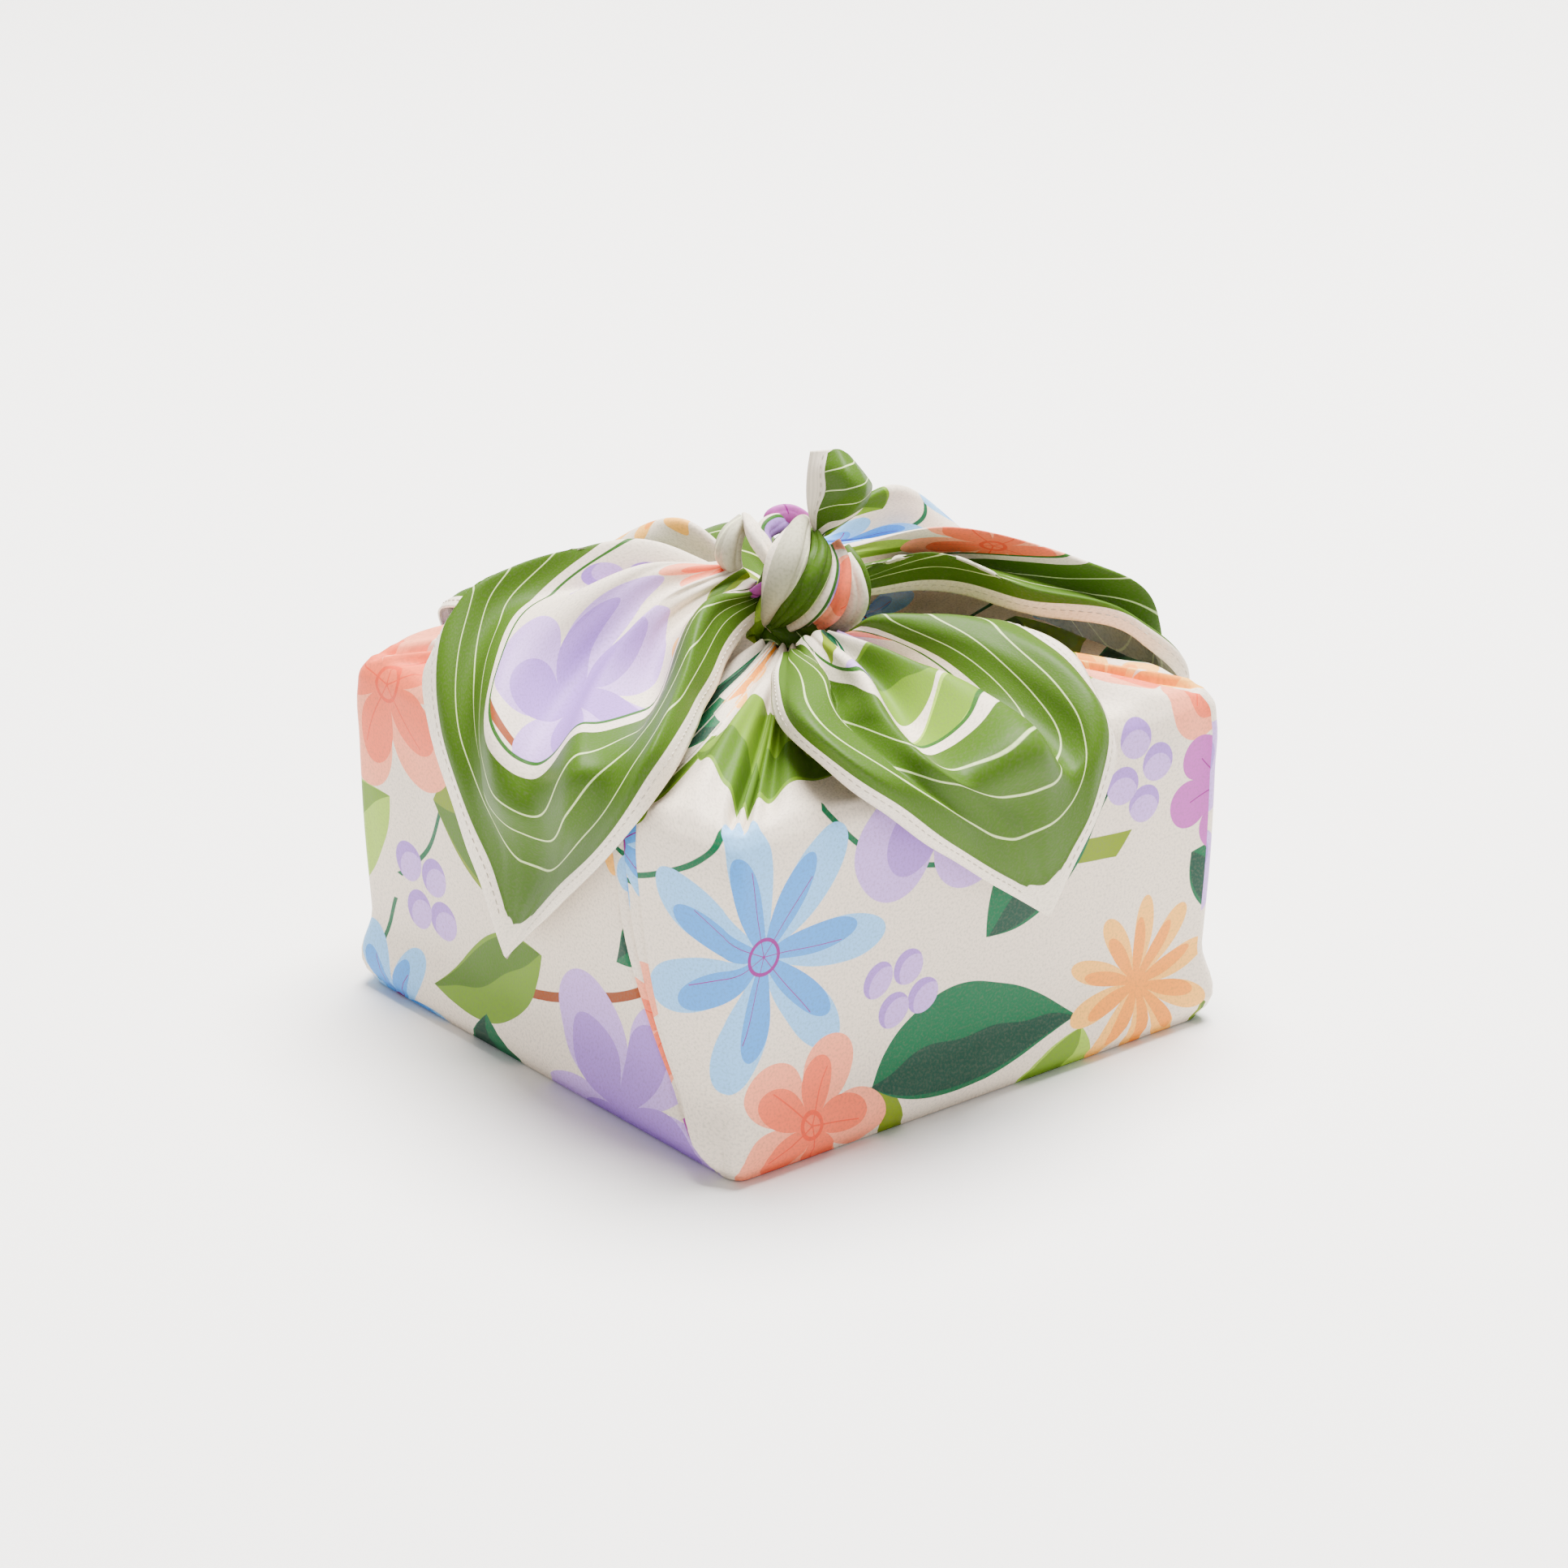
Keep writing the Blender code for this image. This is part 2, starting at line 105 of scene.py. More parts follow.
def turned(places, degrees):
    """Turn (outwards, sideways, up) places round the middle of the base."""
    angle = math.radians(degrees)
    out = places[..., 0]
    side = places[..., 1]
    return np.stack([
        out * math.cos(angle) - side * math.sin(angle),
        out * math.sin(angle) + side * math.cos(angle),
        places[..., 2],
    ], axis=-1)


def soft_noise(x, y, cell_x, cell_y, seed):
    """Smooth random hills between -1 and 1, with cells of the given size."""
    size = 64
    hills = np.random.RandomState(seed).uniform(-1.0, 1.0, (size, size))
    x = np.asarray(x, float) / cell_x
    y = np.asarray(y, float) / cell_y
    column = np.floor(x).astype(int)
    row = np.floor(y).astype(int)
    fx = x - column
    fy = y - row
    fx = fx * fx * (3 - 2 * fx)
    fy = fy * fy * (3 - 2 * fy)
    low = hills[row % size, column % size] * (1 - fx) + hills[row % size, (column + 1) % size] * fx
    high = hills[(row + 1) % size, column % size] * (1 - fx) + hills[(row + 1) % size, (column + 1) % size] * fx
    return low * (1 - fy) + high * fy


def grid_normals(grid):
    """Unit normals of a grid of places."""
    down = np.gradient(grid, axis=0)
    across = np.gradient(grid, axis=1)
    normals = np.cross(across, down)
    return normals / np.maximum(np.linalg.norm(normals, axis=2, keepdims=True), 1e-9)


def relaxed(grid, rounds):
    """Even out a grid a little, with its outline kept."""
    grid = grid.copy()
    for _ in range(rounds):
        middle = (grid[:-2, 1:-1] + grid[2:, 1:-1] + grid[1:-1, :-2] + grid[1:-1, 2:]) / 4
        grid[1:-1, 1:-1] += (middle - grid[1:-1, 1:-1]) / 2
    return grid

# %% [markdown]
# ## From grids to meshes
# The print is worked out on the flat cloth, so each mesh carries a UV map that
# says where on the flat cloth each corner of a face comes from, in metres.

# %% Mesh of a grid, with its place on the flat cloth
FLAT_MAP = "flat"


def link_piece(name, mesh):
    """Put a mesh into the scene as a named object."""
    piece = bpy.data.objects.new(name, mesh)
    bpy.context.scene.collection.objects.link(piece)
    return piece


def mesh_of(name, places, faces, flat_corners):
    """Mesh from places in millimetres, faces, and the flat place of each face corner."""
    mesh = bpy.data.meshes.new(name)
    mesh.from_pydata([tuple(p) for p in np.asarray(places) * MM], [], [tuple(f) for f in faces])
    layer = mesh.uv_layers.new(name=FLAT_MAP)
    layer.data.foreach_set("uv", (np.asarray(flat_corners, float) * MM).ravel())
    mesh.polygons.foreach_set("use_smooth", [True] * len(mesh.polygons))
    mesh.update()
    return mesh


def grid_faces(rows, columns, closed_across=False):
    """Four-cornered faces of a grid, as numbers of its places."""
    faces = []
    across = columns if closed_across else columns - 1
    for r in range(rows - 1):
        for c in range(across):
            n = (c + 1) % columns
            faces.append((r * columns + c, (r + 1) * columns + c, (r + 1) * columns + n, r * columns + n))
    return faces


def sheet_piece(name, grid, flat, outwards):
    """A piece from a grid and its flat places, with its faces towards outwards."""
    rows, columns = grid.shape[:2]
    faces = grid_faces(rows, columns)
    places = grid.reshape(-1, 3)
    flat = flat.reshape(-1, 2)
    middle = faces[len(faces) // 2]
    first, second, third = (places[i] for i in middle[:3])
    if np.dot(np.cross(second - first, third - second), outwards) < 0:
        faces = [face[::-1] for face in faces]
    corners = [flat[i] for face in faces for i in face]
    return link_piece(name, mesh_of(name, places, faces, corners))


def thicken(piece, thickness):
    """Give a sheet its thickness, with the paler reverse on its inner side."""
    wall = piece.modifiers.new("thickness", "SOLIDIFY")
    wall.thickness = thickness * MM
    wall.offset = -1.0
    wall.use_even_offset = False
    wall.material_offset = 1

# %% [markdown]
# ## The cloth round the box
# The cloth comes up from under the box on all four sides. Its excess lies in
# flat pleats beside the vertical edges, and over the lid it runs inwards to
# the knot, with a pinched gather from each corner. It could be simulated, but
# hands have smoothed it tight round the box, so rings of places say it best.

# %% Sizes of the box and of the cloth round it, in millimetres
BOX_HEIGHT = 99.0
FIT_GAP = 0.3
WALL = 1.5
HALF_BASE = 86.8
HALF_MIDDLE = 88.4
HALF_TOP = 89.2
EDGE_RADIUS = 4.5
SIDE_HEIGHT = WALL + FIT_GAP + BOX_HEIGHT + FIT_GAP + WALL + 0.9
NECK_CENTRE = (-3.0, -8.0)
NECK_RADIUS = 13.0
NECK_HEIGHT = 119.0
CLOTH_SIDE = 710.0
# The print repeats on a turned square tile, in metres.
TILE = 0.26
TILE_TURN = 17.0

PLEATS = [
    # (from middle at the top edge, layer height)
    (36.0, 1.3),
    (43.5, 1.2),
    (52.0, 2.1),
]
PLEAT_CURVE = 2.3
PLEAT_STEP = 0.7
PLEAT_STARTS_BY = 12.0
PLEATED_SIDES = (2, 3)
# Under its own edge a layer lies deeper, so a dark line shows there.
PLEAT_GROOVE = 2.0
GROOVE_WIDTH = 1.8
# A pleat hides cloth, so the print jumps by this much from layer to layer.
PLEAT_HIDES = 24.0

SIDE_RINGS = [
    # (height, inset from the side's own line)
    (0.0, 1.6),
    (1.6, 0.0),
    (24.0, 0.0),
    (50.0, -0.3),
    (78.0, -0.2),
    (94.0, 0.0),
    (99.5, 0.9),
    (102.6, 2.8),
]

# %% Columns of the sides
PLAIN_COLUMNS = 102
BESIDE_PLEATS_COLUMNS = 72
EDGE_STEPS = 8
STEP_COLUMNS = 3
LAYER_COLUMNS = 9
STRIP_COLUMNS = 26


def side_half(height):
    """Half of the wrap's width at a height."""
    return float(smooth_through(
        (0.0, SIDE_HEIGHT / 2, SIDE_HEIGHT),
        (HALF_BASE, HALF_MIDDLE, HALF_TOP), [height])[0])


def pleat_place(at_top, at_base, height):
    """Place of a pleat along its side: it starts at the base corner and leans away."""
    low = 1.0 - min(height / SIDE_HEIGHT, 1.0)
    return at_top + (at_base - at_top) * low ** PLEAT_CURVE


def spread(start, end, count):
    """Places between two ends, closer together near the ends."""
    even = np.linspace(-1.0, 1.0, count + 1)
    eased = 0.5 * even + 0.5 * np.sin(even * math.pi / 2)
    return start + (end - start) * (eased + 1) / 2


def side_track(half, height, pleated):
    """Columns of one side: place along it, rise above it, and which layer of a pleat it is."""
    reach = half - EDGE_RADIUS
    if not pleated:
        return [(place, 0.0, 0) for place in spread(-reach, reach, PLAIN_COLUMNS)[1:-1]]
    track = []
    raised = 0.0
    start = -reach
    for index, (from_middle, layer) in enumerate(PLEATS):
        at_base = reach - 2 * PLEAT_STEP * (len(PLEATS) - index)
        place = pleat_place(from_middle, at_base, height)
        count = BESIDE_PLEATS_COLUMNS if index == 0 else LAYER_COLUMNS
        for along in spread(start, place, count)[1:]:
            groove = PLEAT_GROOVE * math.exp(-((place - along) / GROOVE_WIDTH) ** 2)
            track.append((along, raised - groove, index))
        for step in range(1, STEP_COLUMNS + 1):
            share = step / STEP_COLUMNS
            rise = raised + (layer + PLEAT_GROOVE) * math.sin(share * math.pi / 2) - PLEAT_GROOVE
            track.append((place + PLEAT_STEP * (1 - math.cos(share * math.pi / 2)), rise, index + 1))
        raised += layer
        start = place + PLEAT_STEP
    for along in spread(start, reach, STRIP_COLUMNS)[1:-1]:
        fall = (along - start) / (reach - start)
        track.append((along, raised * (1 - fall ** 2), len(PLEATS)))
    return track


def wrap_ring(height, inset):
    """One level ring: its places, the side that each column is on, and its pleat layer."""
    half = side_half(height) - inset
    reach = half - EDGE_RADIUS
    fade = min(1.0, height / PLEAT_STARTS_BY)
    places = []
    owners = []
    for side in range(4):
        row = []
        for step in range(EDGE_STEPS + 1):
            angle = math.radians(-180.0 + 90.0 * step / EDGE_STEPS)
            row.append((-reach + EDGE_RADIUS * math.cos(angle), -reach + EDGE_RADIUS * math.sin(angle), height))
            owners.append((side, 0))
        for along, raised, layer in side_track(half, height, side in PLEATED_SIDES):
            row.append((along, -half - raised * fade, height))
            owners.append((side, layer))
        places.append(turned(np.array(row), 90.0 * side))
    return np.concatenate(places), owners, reach

# %% Rise of the cloth over the lid
GATHER_FOLDS = [
    # (from the corner along the edge, height, width, narrows towards the knot, reach)
    (-20.0, 8.5, 9.0, 1.0, 0.9),
    (-8.0, 3.2, 3.0, 0.4, 1.0),
    (-3.8, -6.0, 1.7, 0.2, 0.8),
    (-0.4, 4.4, 1.5, 0.2, 1.0),
    (2.6, -7.5, 1.5, 0.2, 0.8),
    (6.2, 5.4, 2.5, 0.3, 1.0),
    (12.0, -2.0, 3.5, 0.8, 1.0),
    (20.0, 5.5, 8.0, 1.0, 1.0),
]
GATHER_REACH = 1.1
GATHER_FULLNESS = 0.7
# Towards the knot the folds keep this much less width and distance from the corner's line.
GATHER_NARROWS = 0.85
GATHER_CLOSES = 0.3
EDGE_SAG = 1.6
EDGE_SAG_WIDTH = 3.2
EDGE_SAG_FROM = 0.04
LID_CURVE = 1.7
NECK_PLEATS = 13
NECK_PLEAT_HEIGHT = 2.6
NECK_PLEAT_WAVER = 0.8
NECK_PLEAT_ONSET = 1.6
# A rounded pleat's mean height, as a share of its crest.
PLEAT_MEAN = 0.6
LID_ROWS = 50
DIMPLE_DEPTH = 1.3
DIMPLE_WIDTH = 20.0
DIMPLE_SHIFT = 300


def from_corner_of(x, y):
    """Signed distance of places on the upper edge from their nearest corner."""
    size = np.abs(np.abs(x) - np.abs(y))
    angle = np.degrees(np.arctan2(y, x)) % 90.0
    return np.where(angle > 45.0, size, -size)


def gather_height(from_corner, share):
    """Rise of the lid's cloth beside a corner: a puff, then narrow folds beside a deep slit."""
    rise = 0.0
    for place, height, width, narrows, reach in GATHER_FOLDS:
        spread_out = 1 - GATHER_NARROWS * share
        width = width / spread_out ** (1 - narrows)
        envelope = math.sin(math.pi * min(1.0, share * GATHER_REACH / reach)) ** GATHER_FULLNESS
        place = place * (1 - GATHER_CLOSES * share)
        rise = rise + height * envelope * np.exp(-((from_corner - place) / width) ** 2)
    return rise


def lid_ring(edge_ring, share):
    """One ring of the lid, between the upper edge and the neck."""
    x, y = edge_ring[:, 0], edge_ring[:, 1]
    angle = np.arctan2(y, x)
    neck = np.stack([
        NECK_CENTRE[0] + NECK_RADIUS * np.cos(angle),
        NECK_CENTRE[1] + NECK_RADIUS * np.sin(angle)], axis=1)
    from_corner = from_corner_of(x, y)
    rise = (NECK_HEIGHT - SIDE_HEIGHT) * share ** LID_CURVE
    rise = rise + gather_height(from_corner, share)
    sag = EDGE_SAG * min(1.0, share / EDGE_SAG_FROM) * (1 - share)
    rise = rise - sag * np.exp(-(from_corner / EDGE_SAG_WIDTH) ** 2)
    folds = np.abs(np.sin(NECK_PLEATS * angle + NECK_PLEAT_WAVER * np.sin(3 * angle))) - PLEAT_MEAN
    rise = rise + NECK_PLEAT_HEIGHT * folds * share ** NECK_PLEAT_ONSET
    inner_x = x + (neck[:, 0] - x) * share
    inner_y = y + (neck[:, 1] - y) * share
    dimples = soft_noise(inner_x + DIMPLE_SHIFT, inner_y + DIMPLE_SHIFT, DIMPLE_WIDTH, DIMPLE_WIDTH, 5)
    rise = rise + DIMPLE_DEPTH * dimples * math.sin(math.pi * share) ** 0.5
    return np.stack([inner_x, inner_y, SIDE_HEIGHT + rise], axis=1)

# %% Where each place of the wrap lies on the flat cloth
LID_NARROWS = 0.25


def flat_on_side(place, reach, side, layer, share):
    """Flat place of a place on a side, or of a lid place by its column's place on the upper edge."""
    local = turned(np.array([*place]), -90.0 * side)
    round_edge = EDGE_RADIUS * math.pi / 2
    along = min(local[0], reach)
    if layer:
        # Beyond a pleat lies the next side's cloth, brought round the edge.
        side = (side + 1) % 4
        along = -(2 * reach + round_edge - along) - PLEAT_HIDES * (len(PLEATS) - layer)
    elif along < -reach:
        along = -reach - EDGE_RADIUS * math.asin(min(1.0, (-reach - along) / EDGE_RADIUS))
    out = HALF_BASE + local[2]
    if share is not None:
        out += share * (HALF_TOP - NECK_RADIUS)
        along *= 1 - LID_NARROWS * share
    return turned(np.array([along, -out, 0.0]), 90.0 * side)[:2]

# %% Small folds on the sides
DRAG_DEPTH = 0.55
DRAG_WIDTH = 11.0
DRAG_LENGTH = 60.0
DRAG_LEAN = 0.25
DRAG_AT_BASE = 0.35
DRAG_STARTS_BY = 6.0
DRAG_ENDS_WITHIN = 8.0


def side_folds(ring, owners, height):
    """Push a ring in and out by the soft drag lines that tight satin shows."""
    shaped = ring.copy()
    for index, (side, _) in enumerate(owners):
        local = turned(ring[index], -90.0 * side)
        lean = local[0] + DRAG_LEAN * (SIDE_HEIGHT - height) * np.sign(local[0])
        depth = DRAG_DEPTH * soft_noise(lean, height, DRAG_WIDTH, DRAG_LENGTH, 11 + side)
        depth *= DRAG_AT_BASE + (1 - DRAG_AT_BASE) * height / SIDE_HEIGHT
        depth *= min(1.0, height / DRAG_STARTS_BY)
        edge = min(1.0, (side_half(height) - abs(local[0])) / DRAG_ENDS_WITHIN)
        local[1] += depth * max(edge, 0.0)
        shaped[index] = turned(local, 90.0 * side)
    return shaped

# %% Rings of the wrap
FOOT_RADIUS = 1.6
FOOT_HEIGHTS = [0.0, 0.2, 0.5, 0.9, 1.6]
RING_STEP = 3.2
SIDE_RINGS_TO = 93.0
UPPER_EDGE_FROM = 94.0
UPPER_EDGE_RINGS = 12
BASE_RINGS = (0.35, 0.7, 0.93)
BASE = "base"


def side_rings():
    """The rings of the sides from the foot up, with their columns' owners and each ring's reach."""
    heights, insets = zip(*SIDE_RINGS)
    fine = FOOT_HEIGHTS + list(np.arange(FOOT_RADIUS + RING_STEP, SIDE_RINGS_TO, RING_STEP))
    fine += list(np.linspace(UPPER_EDGE_FROM, heights[-1], UPPER_EDGE_RINGS))
    rings = []
    reaches = []
    for height in fine:
        inset = float(smooth_through(heights, insets, [height])[0])
        if height <= FOOT_RADIUS:
            inset = FOOT_RADIUS * (1 - math.sqrt(max(0.0, 1 - (1 - height / FOOT_RADIUS) ** 2)))
        ring, owners, reach = wrap_ring(height, inset)
        rings.append(side_folds(ring, owners, height))
        reaches.append(reach)
    return rings, owners, reaches


def flat_corners(grid, faces, kinds, owners, reaches):
    """Flat place of each corner of each face. A lid column keeps its place on the upper edge."""
    columns = grid.shape[1]
    edge_row = len(reaches) - 1
    corners = []
    for index, face in enumerate(faces):
        row, column = divmod(index, columns)
        side, layer = owners[column]
        for corner in face:
            at_row, at_column = divmod(corner, columns)
            if kinds[row] == BASE:
                corners.append(grid[at_row, at_column][:2])
                continue
            share = None if kinds[at_row] == BASE else kinds[at_row]
            source = min(at_row, edge_row)
            corners.append(flat_on_side(grid[source, at_column], reaches[source], side, layer, share))
    return corners

# %% Build the wrap
CLOTH_THICKNESS = 0.6


def make_wrap_body():
    """The cloth round the box, from the middle of its base to the neck."""
    rings, owners, reaches = side_rings()
    lid_shares = list(np.linspace(0.0, 1.0, LID_ROWS + 1)[1:])
    lid = [lid_ring(rings[-1], share) for share in lid_shares]
    base = [rings[0] * np.array([scale, scale, 1.0]) for scale in BASE_RINGS]
    grid = np.array(base + rings + lid)
    kinds = [BASE] * len(base) + [None] * len(rings) + lid_shares
    reaches = [reaches[0]] * len(base) + reaches
    rows, columns = grid.shape[:2]
    faces = [face[::-1] for face in grid_faces(rows, columns, closed_across=True)]
    corners = flat_corners(grid, faces, kinds, owners, reaches)
    places = np.concatenate([grid.reshape(-1, 3), [[0.0, 0.0, 0.0]]])
    middle = len(places) - 1
    for column in range(columns):
        following = (column + 1) % columns
        faces.append((column, middle, following))
        corners += [places[column][:2], places[middle][:2], places[following][:2]]
    mesh = mesh_of("wrap_body", places, faces, corners)
    bm = bmesh.new()
    bm.from_mesh(mesh)
    bmesh.ops.recalc_face_normals(bm, faces=bm.faces)
    bm.to_mesh(mesh)
    bm.free()
    piece = link_piece("wrap_body", mesh)
    # An open bag's faces may all have turned inwards.
    side_face = max(mesh.polygons, key=lambda polygon: polygon.center.x)
    if side_face.normal.x < 0:
        mesh.flip_normals()
    thicken(piece, CLOTH_THICKNESS)
    return piece


wrap_body = make_wrap_body()
print("wrap_body faces", len(wrap_body.data.polygons))

# %% [markdown]
# ## The four draped corners
# Each free corner of the cloth leaves the knot as a gather, arches over the
# lid, opens out over a side and hangs to a point. Its two outer edges are
# hems. A row of the table below is one fold, with its place at five stations.
# A second table says how far the folds lie from the two hems on the flat
# cloth, so that the print and its border run true over the folds.

# %% Table of the draped corners
EAR_STATIONS = (0.0, 0.22, 0.45, 0.68, 0.86, 1.0)
EARS = {
    "ear_front_left": {
        "turn": 180.0,
        "corner": (-1, 1),
        "point": (98, -3, 40),
        "folds": [
            # (share, knot, crown, shoulder, drop, low)
            (-1.00, (6, -10, 125), (26, -36, 124), (84, -46, 119), (97, -39, 98), (98, -18, 64)),
            (-0.78, (9, -11, 131.5), (35, -29, 144), (78, -46, 132), (99, -30, 104), (99, -12, 70)),
            (-0.52, (11, -9, 133.5), (38, -22, 132), (73, -36, 127), (96, -20, 102), (98.5, -5, 75)),
            (-0.30, (13, -8, 137), (41, -16, 140), (76, -22, 127), (102, -3, 105), (99, 5, 79)),
            (0.00, (14, -5, 138), (43, -9, 132), (72, -7, 115), (98, 12, 99), (98.5, 14, 80)),
            (0.28, (14, -2, 138), (42, -3, 134), (68, 3, 119), (102, 36, 110), (99.5, 24, 82)),
            (0.52, (13, 1, 136), (40, 1, 126), (60, 15, 114), (92, 44, 112), (99, 33, 85)),
            (0.78, (11, 3, 132), (35, 11, 136), (60, 31, 127), (93, 57, 118), (100, 42, 88)),
            (1.00, (8, 4, 127), (24, 9, 121), (49, 28, 116), (85, 56, 110), (99, 46, 87)),
        ],
    },
    "ear_front_right": {
        "turn": 270.0,
        "corner": (1, -1),
        "point": (100, 14, 57),
        "folds": [
            (-1.00, (20, -16, 117), (41, -38, 121), (66, -53, 118), (95, -44, 103), (100, -17, 80)),
            (-0.84, (22, -16, 120), (57, -45, 127), (83, -55, 124), (101, -43, 108), (102, -15, 83)),
            (-0.68, (24, -15, 122), (57, -30, 127), (76, -39, 120), (101, -38, 110), (103, -12, 86)),
            (-0.50, (25, -13, 124), (48, -21, 115), (62, -29, 113), (98, -33, 108), (103, -8, 88)),
            (-0.32, (26, -11, 125), (55, -18, 125), (78, -27, 120), (101, -28, 112), (103.5, -4, 89)),
            (-0.08, (27, -8, 125.5), (46, -3, 113), (74, -12, 107), (101, -17, 107), (103.5, 2, 90)),
            (0.18, (27, -5, 125), (44, 4, 122), (72, 9, 118), (104, 5, 113), (104, 9, 91)),
            (0.42, (26, -2, 123.5), (42, 13, 114), (73, 21, 109), (97, 21, 102), (103, 18, 90)),
            (0.72, (24, 1, 121), (34, 8, 128), (54, 32, 126), (92, 37, 113), (102, 28, 90)),
            (1.00, (21, 2, 118), (30, 24, 121), (56, 52, 118), (91, 44, 101), (100, 34, 88)),
        ],
    },
    "ear_back_right": {
        "turn": 0.0,
        "corner": (1, 1),
        "point": (99, -24, 42),
        "folds": [
            (-1.00, (8, -9, 126), (45, -12, 121), (60, -40, 118), (84, -58, 110), (99, -62, 84)),
            (-0.80, (10, -9, 131), (38, -19, 136), (56, -40, 128), (84, -58, 117), (101, -62, 90)),
            (-0.52, (12, -8, 135), (46, -12, 130), (68, -32, 124), (90, -46, 112), (99, -54, 87)),
            (-0.22, (13, -5, 138), (46, -18, 142), (78, -40, 131), (99, -50, 114), (103, -45, 80)),
            (0.10, (13, -1, 139), (46, -4, 134), (76, -14, 122), (98, -28, 104), (100, -35, 75)),
            (0.42, (13, 3, 138), (40, 0, 151), (74, 6, 126), (101, -6, 100), (102, -20, 70)),
            (0.72, (11, 6, 134), (42, 22, 128), (76, 30, 118), (97, 14, 94), (99, -8, 66)),
            (1.00, (9, 8, 129), (34, 34, 122), (72, 46, 114), (98, 32, 90), (100, 4, 62)),
        ],
    },
    "ear_back_left": {
        "turn": 90.0,
        "corner": (-1, -1),
        "point": (100, 10, 48),
        "folds": [
            (-1.00, (13, -6, 116), (30, -28, 116), (62, -46, 113), (96, -36, 96), (100, -10, 70)),
            (-0.72, (13, -7, 120), (34, -24, 128), (70, -36, 122), (100, -28, 100), (103, -6, 74)),
            (-0.36, (13, -5, 124), (40, -8, 120), (70, -14, 114), (98, -12, 96), (101, 2, 72)),
            (0.05, (13, 0, 126), (30, 14, 145), (66, 14, 126), (100, 12, 102), (103, 12, 74)),
            (0.40, (13, 5, 125), (40, 22, 124), (68, 30, 117), (97, 28, 99), (101, 20, 74)),
            (0.72, (13, 8, 121), (40, 34, 130), (72, 46, 121), (96, 46, 107), (102, 30, 78)),
            (1.00, (12, 8, 117), (34, 44, 117), (66, 56, 115), (94, 54, 106), (100, 36, 78)),
        ],
    },
}

# %% Where the folds of the draped corners lie on the flat cloth
EAR_FLAT = {
    "ear_front_left": [
        # For each fold: (from the first hem, from the second) at knot, crown, shoulder, drop, low
        ((0, 190), (0, 160), (0, 104), (0, 76), (0, 36)),
        ((68, 180), (53, 153), (14, 112), (9.5, 73), (6.5, 34)),
        ((76, 158), (64, 132), (46, 101), (41, 70), (18, 34)),
        ((84, 155), (74, 130), (58, 102), (55, 66), (27, 32)),
        ((128, 115), (112, 92), (93, 74), (62, 50), (32, 28)),
        ((145, 103), (125, 88), (97, 72), (70, 38), (37, 26)),
        ((162, 88), (142, 70), (118, 55), (83, 26), (50, 14)),
        ((196, 34), (172, 35), (140, 25), (96, 13), (62, 8.5)),
        ((197, 0), (179, 0), (148, 0), (98, 0), (64, 0)),
    ],
    "ear_front_right": [
        ((0, 170), (0, 140), (0, 110), (0, 75), (0, 39)),
        ((16, 178), (14, 132), (20, 104), (10.5, 76), (8.5, 38)),
        ((50, 154), (42, 119), (28.5, 99), (20.5, 72), (17, 35)),
        ((52, 142), (44, 117), (33, 102), (24, 67), (21, 33)),
        ((66, 137), (56, 108), (44, 86), (37.5, 60), (23.5, 29)),
        ((74, 124), (62, 103), (52, 73), (34, 51), (26, 27)),
        ((95, 100), (88, 78), (72, 57), (47, 42), (28, 26)),
        ((100, 82), (87, 60), (60, 44), (40, 31), (29, 21)),
        ((140, 55), (130, 40), (103, 18.5), (62, 11.5), (35, 9.5)),
        ((160, 0), (136, 0), (97, 0), (57, 0), (37, 0)),
    ],
    "ear_back_right": [
        ((0, 187), (0, 150), (0, 118), (0, 87), (0, 57)),
        ((40, 183), (28, 154), (17, 127), (10, 92), (8, 60)),
        ((55, 166), (45, 134), (34, 106), (22, 79), (15, 52)),
        ((95, 156), (80, 124), (53, 93), (31, 72), (22, 38)),
        ((105, 120), (95, 100), (75, 75), (50, 50), (32, 30)),
        ((140, 80), (128, 62), (88, 40), (50, 26), (22, 15)),
        ((165, 40), (133, 30), (98, 20), (63, 12), (27, 8)),
        ((190, 0), (153, 0), (112, 0), (74, 0), (34, 0)),
    ],
}

# %% A draped corner as a fine sheet
EAR_ROWS = 120
EAR_COLUMNS = 96
SAMPLE_COLUMNS = 161
FOLD_ROUNDNESS = 0.85
HEM_MARGIN = 8.5
HEM_LINES = (0.0, 1.2, 3.0, 5.0, 7.4, 8.5, 9.6)
HEM_MOST = 0.9
EVENING_ROUNDS = 260
# Keeps places that nearly meet from pulling too hard, in square millimetres.
EVENING_LEAST = 0.05
EAR_ANGLE = 45.0
# Rows lie closer together towards the point.
ROW_CROWDING = 1.15


def even_flat(folds, lengths):
    """Flat places of folds that spread evenly from hem to hem, from their lengths."""
    shares = np.array([fold[0] for fold in folds])
    turn = np.radians(EAR_ANGLE * (1 + shares))
    return np.stack([lengths * np.sin(turn), lengths * np.cos(turn)], axis=-1)


def fold_rows(name, ear, rows):
    """The folds of a draped corner read at many stations: stations, folds, places with flat places."""
    table = np.array([list(fold[1:]) + [ear["point"]] for fold in ear["folds"]], float)
    if name in EAR_FLAT:
        flat = np.array([list(row) + [(0.0, 0.0)] for row in EAR_FLAT[name]], float)
    else:
        steps = np.linalg.norm(np.diff(table, axis=1), axis=2)
        lengths = np.cumsum(steps[:, ::-1], axis=1)[:, ::-1]
        lengths = np.concatenate([lengths, np.zeros((len(table), 1))], axis=1)
        flat = np.swapaxes(even_flat(ear["folds"], lengths.T), 0, 1)
    table = np.concatenate([table, flat], axis=2)
    return smooth_through(EAR_STATIONS, np.swapaxes(table, 0, 1), rows)


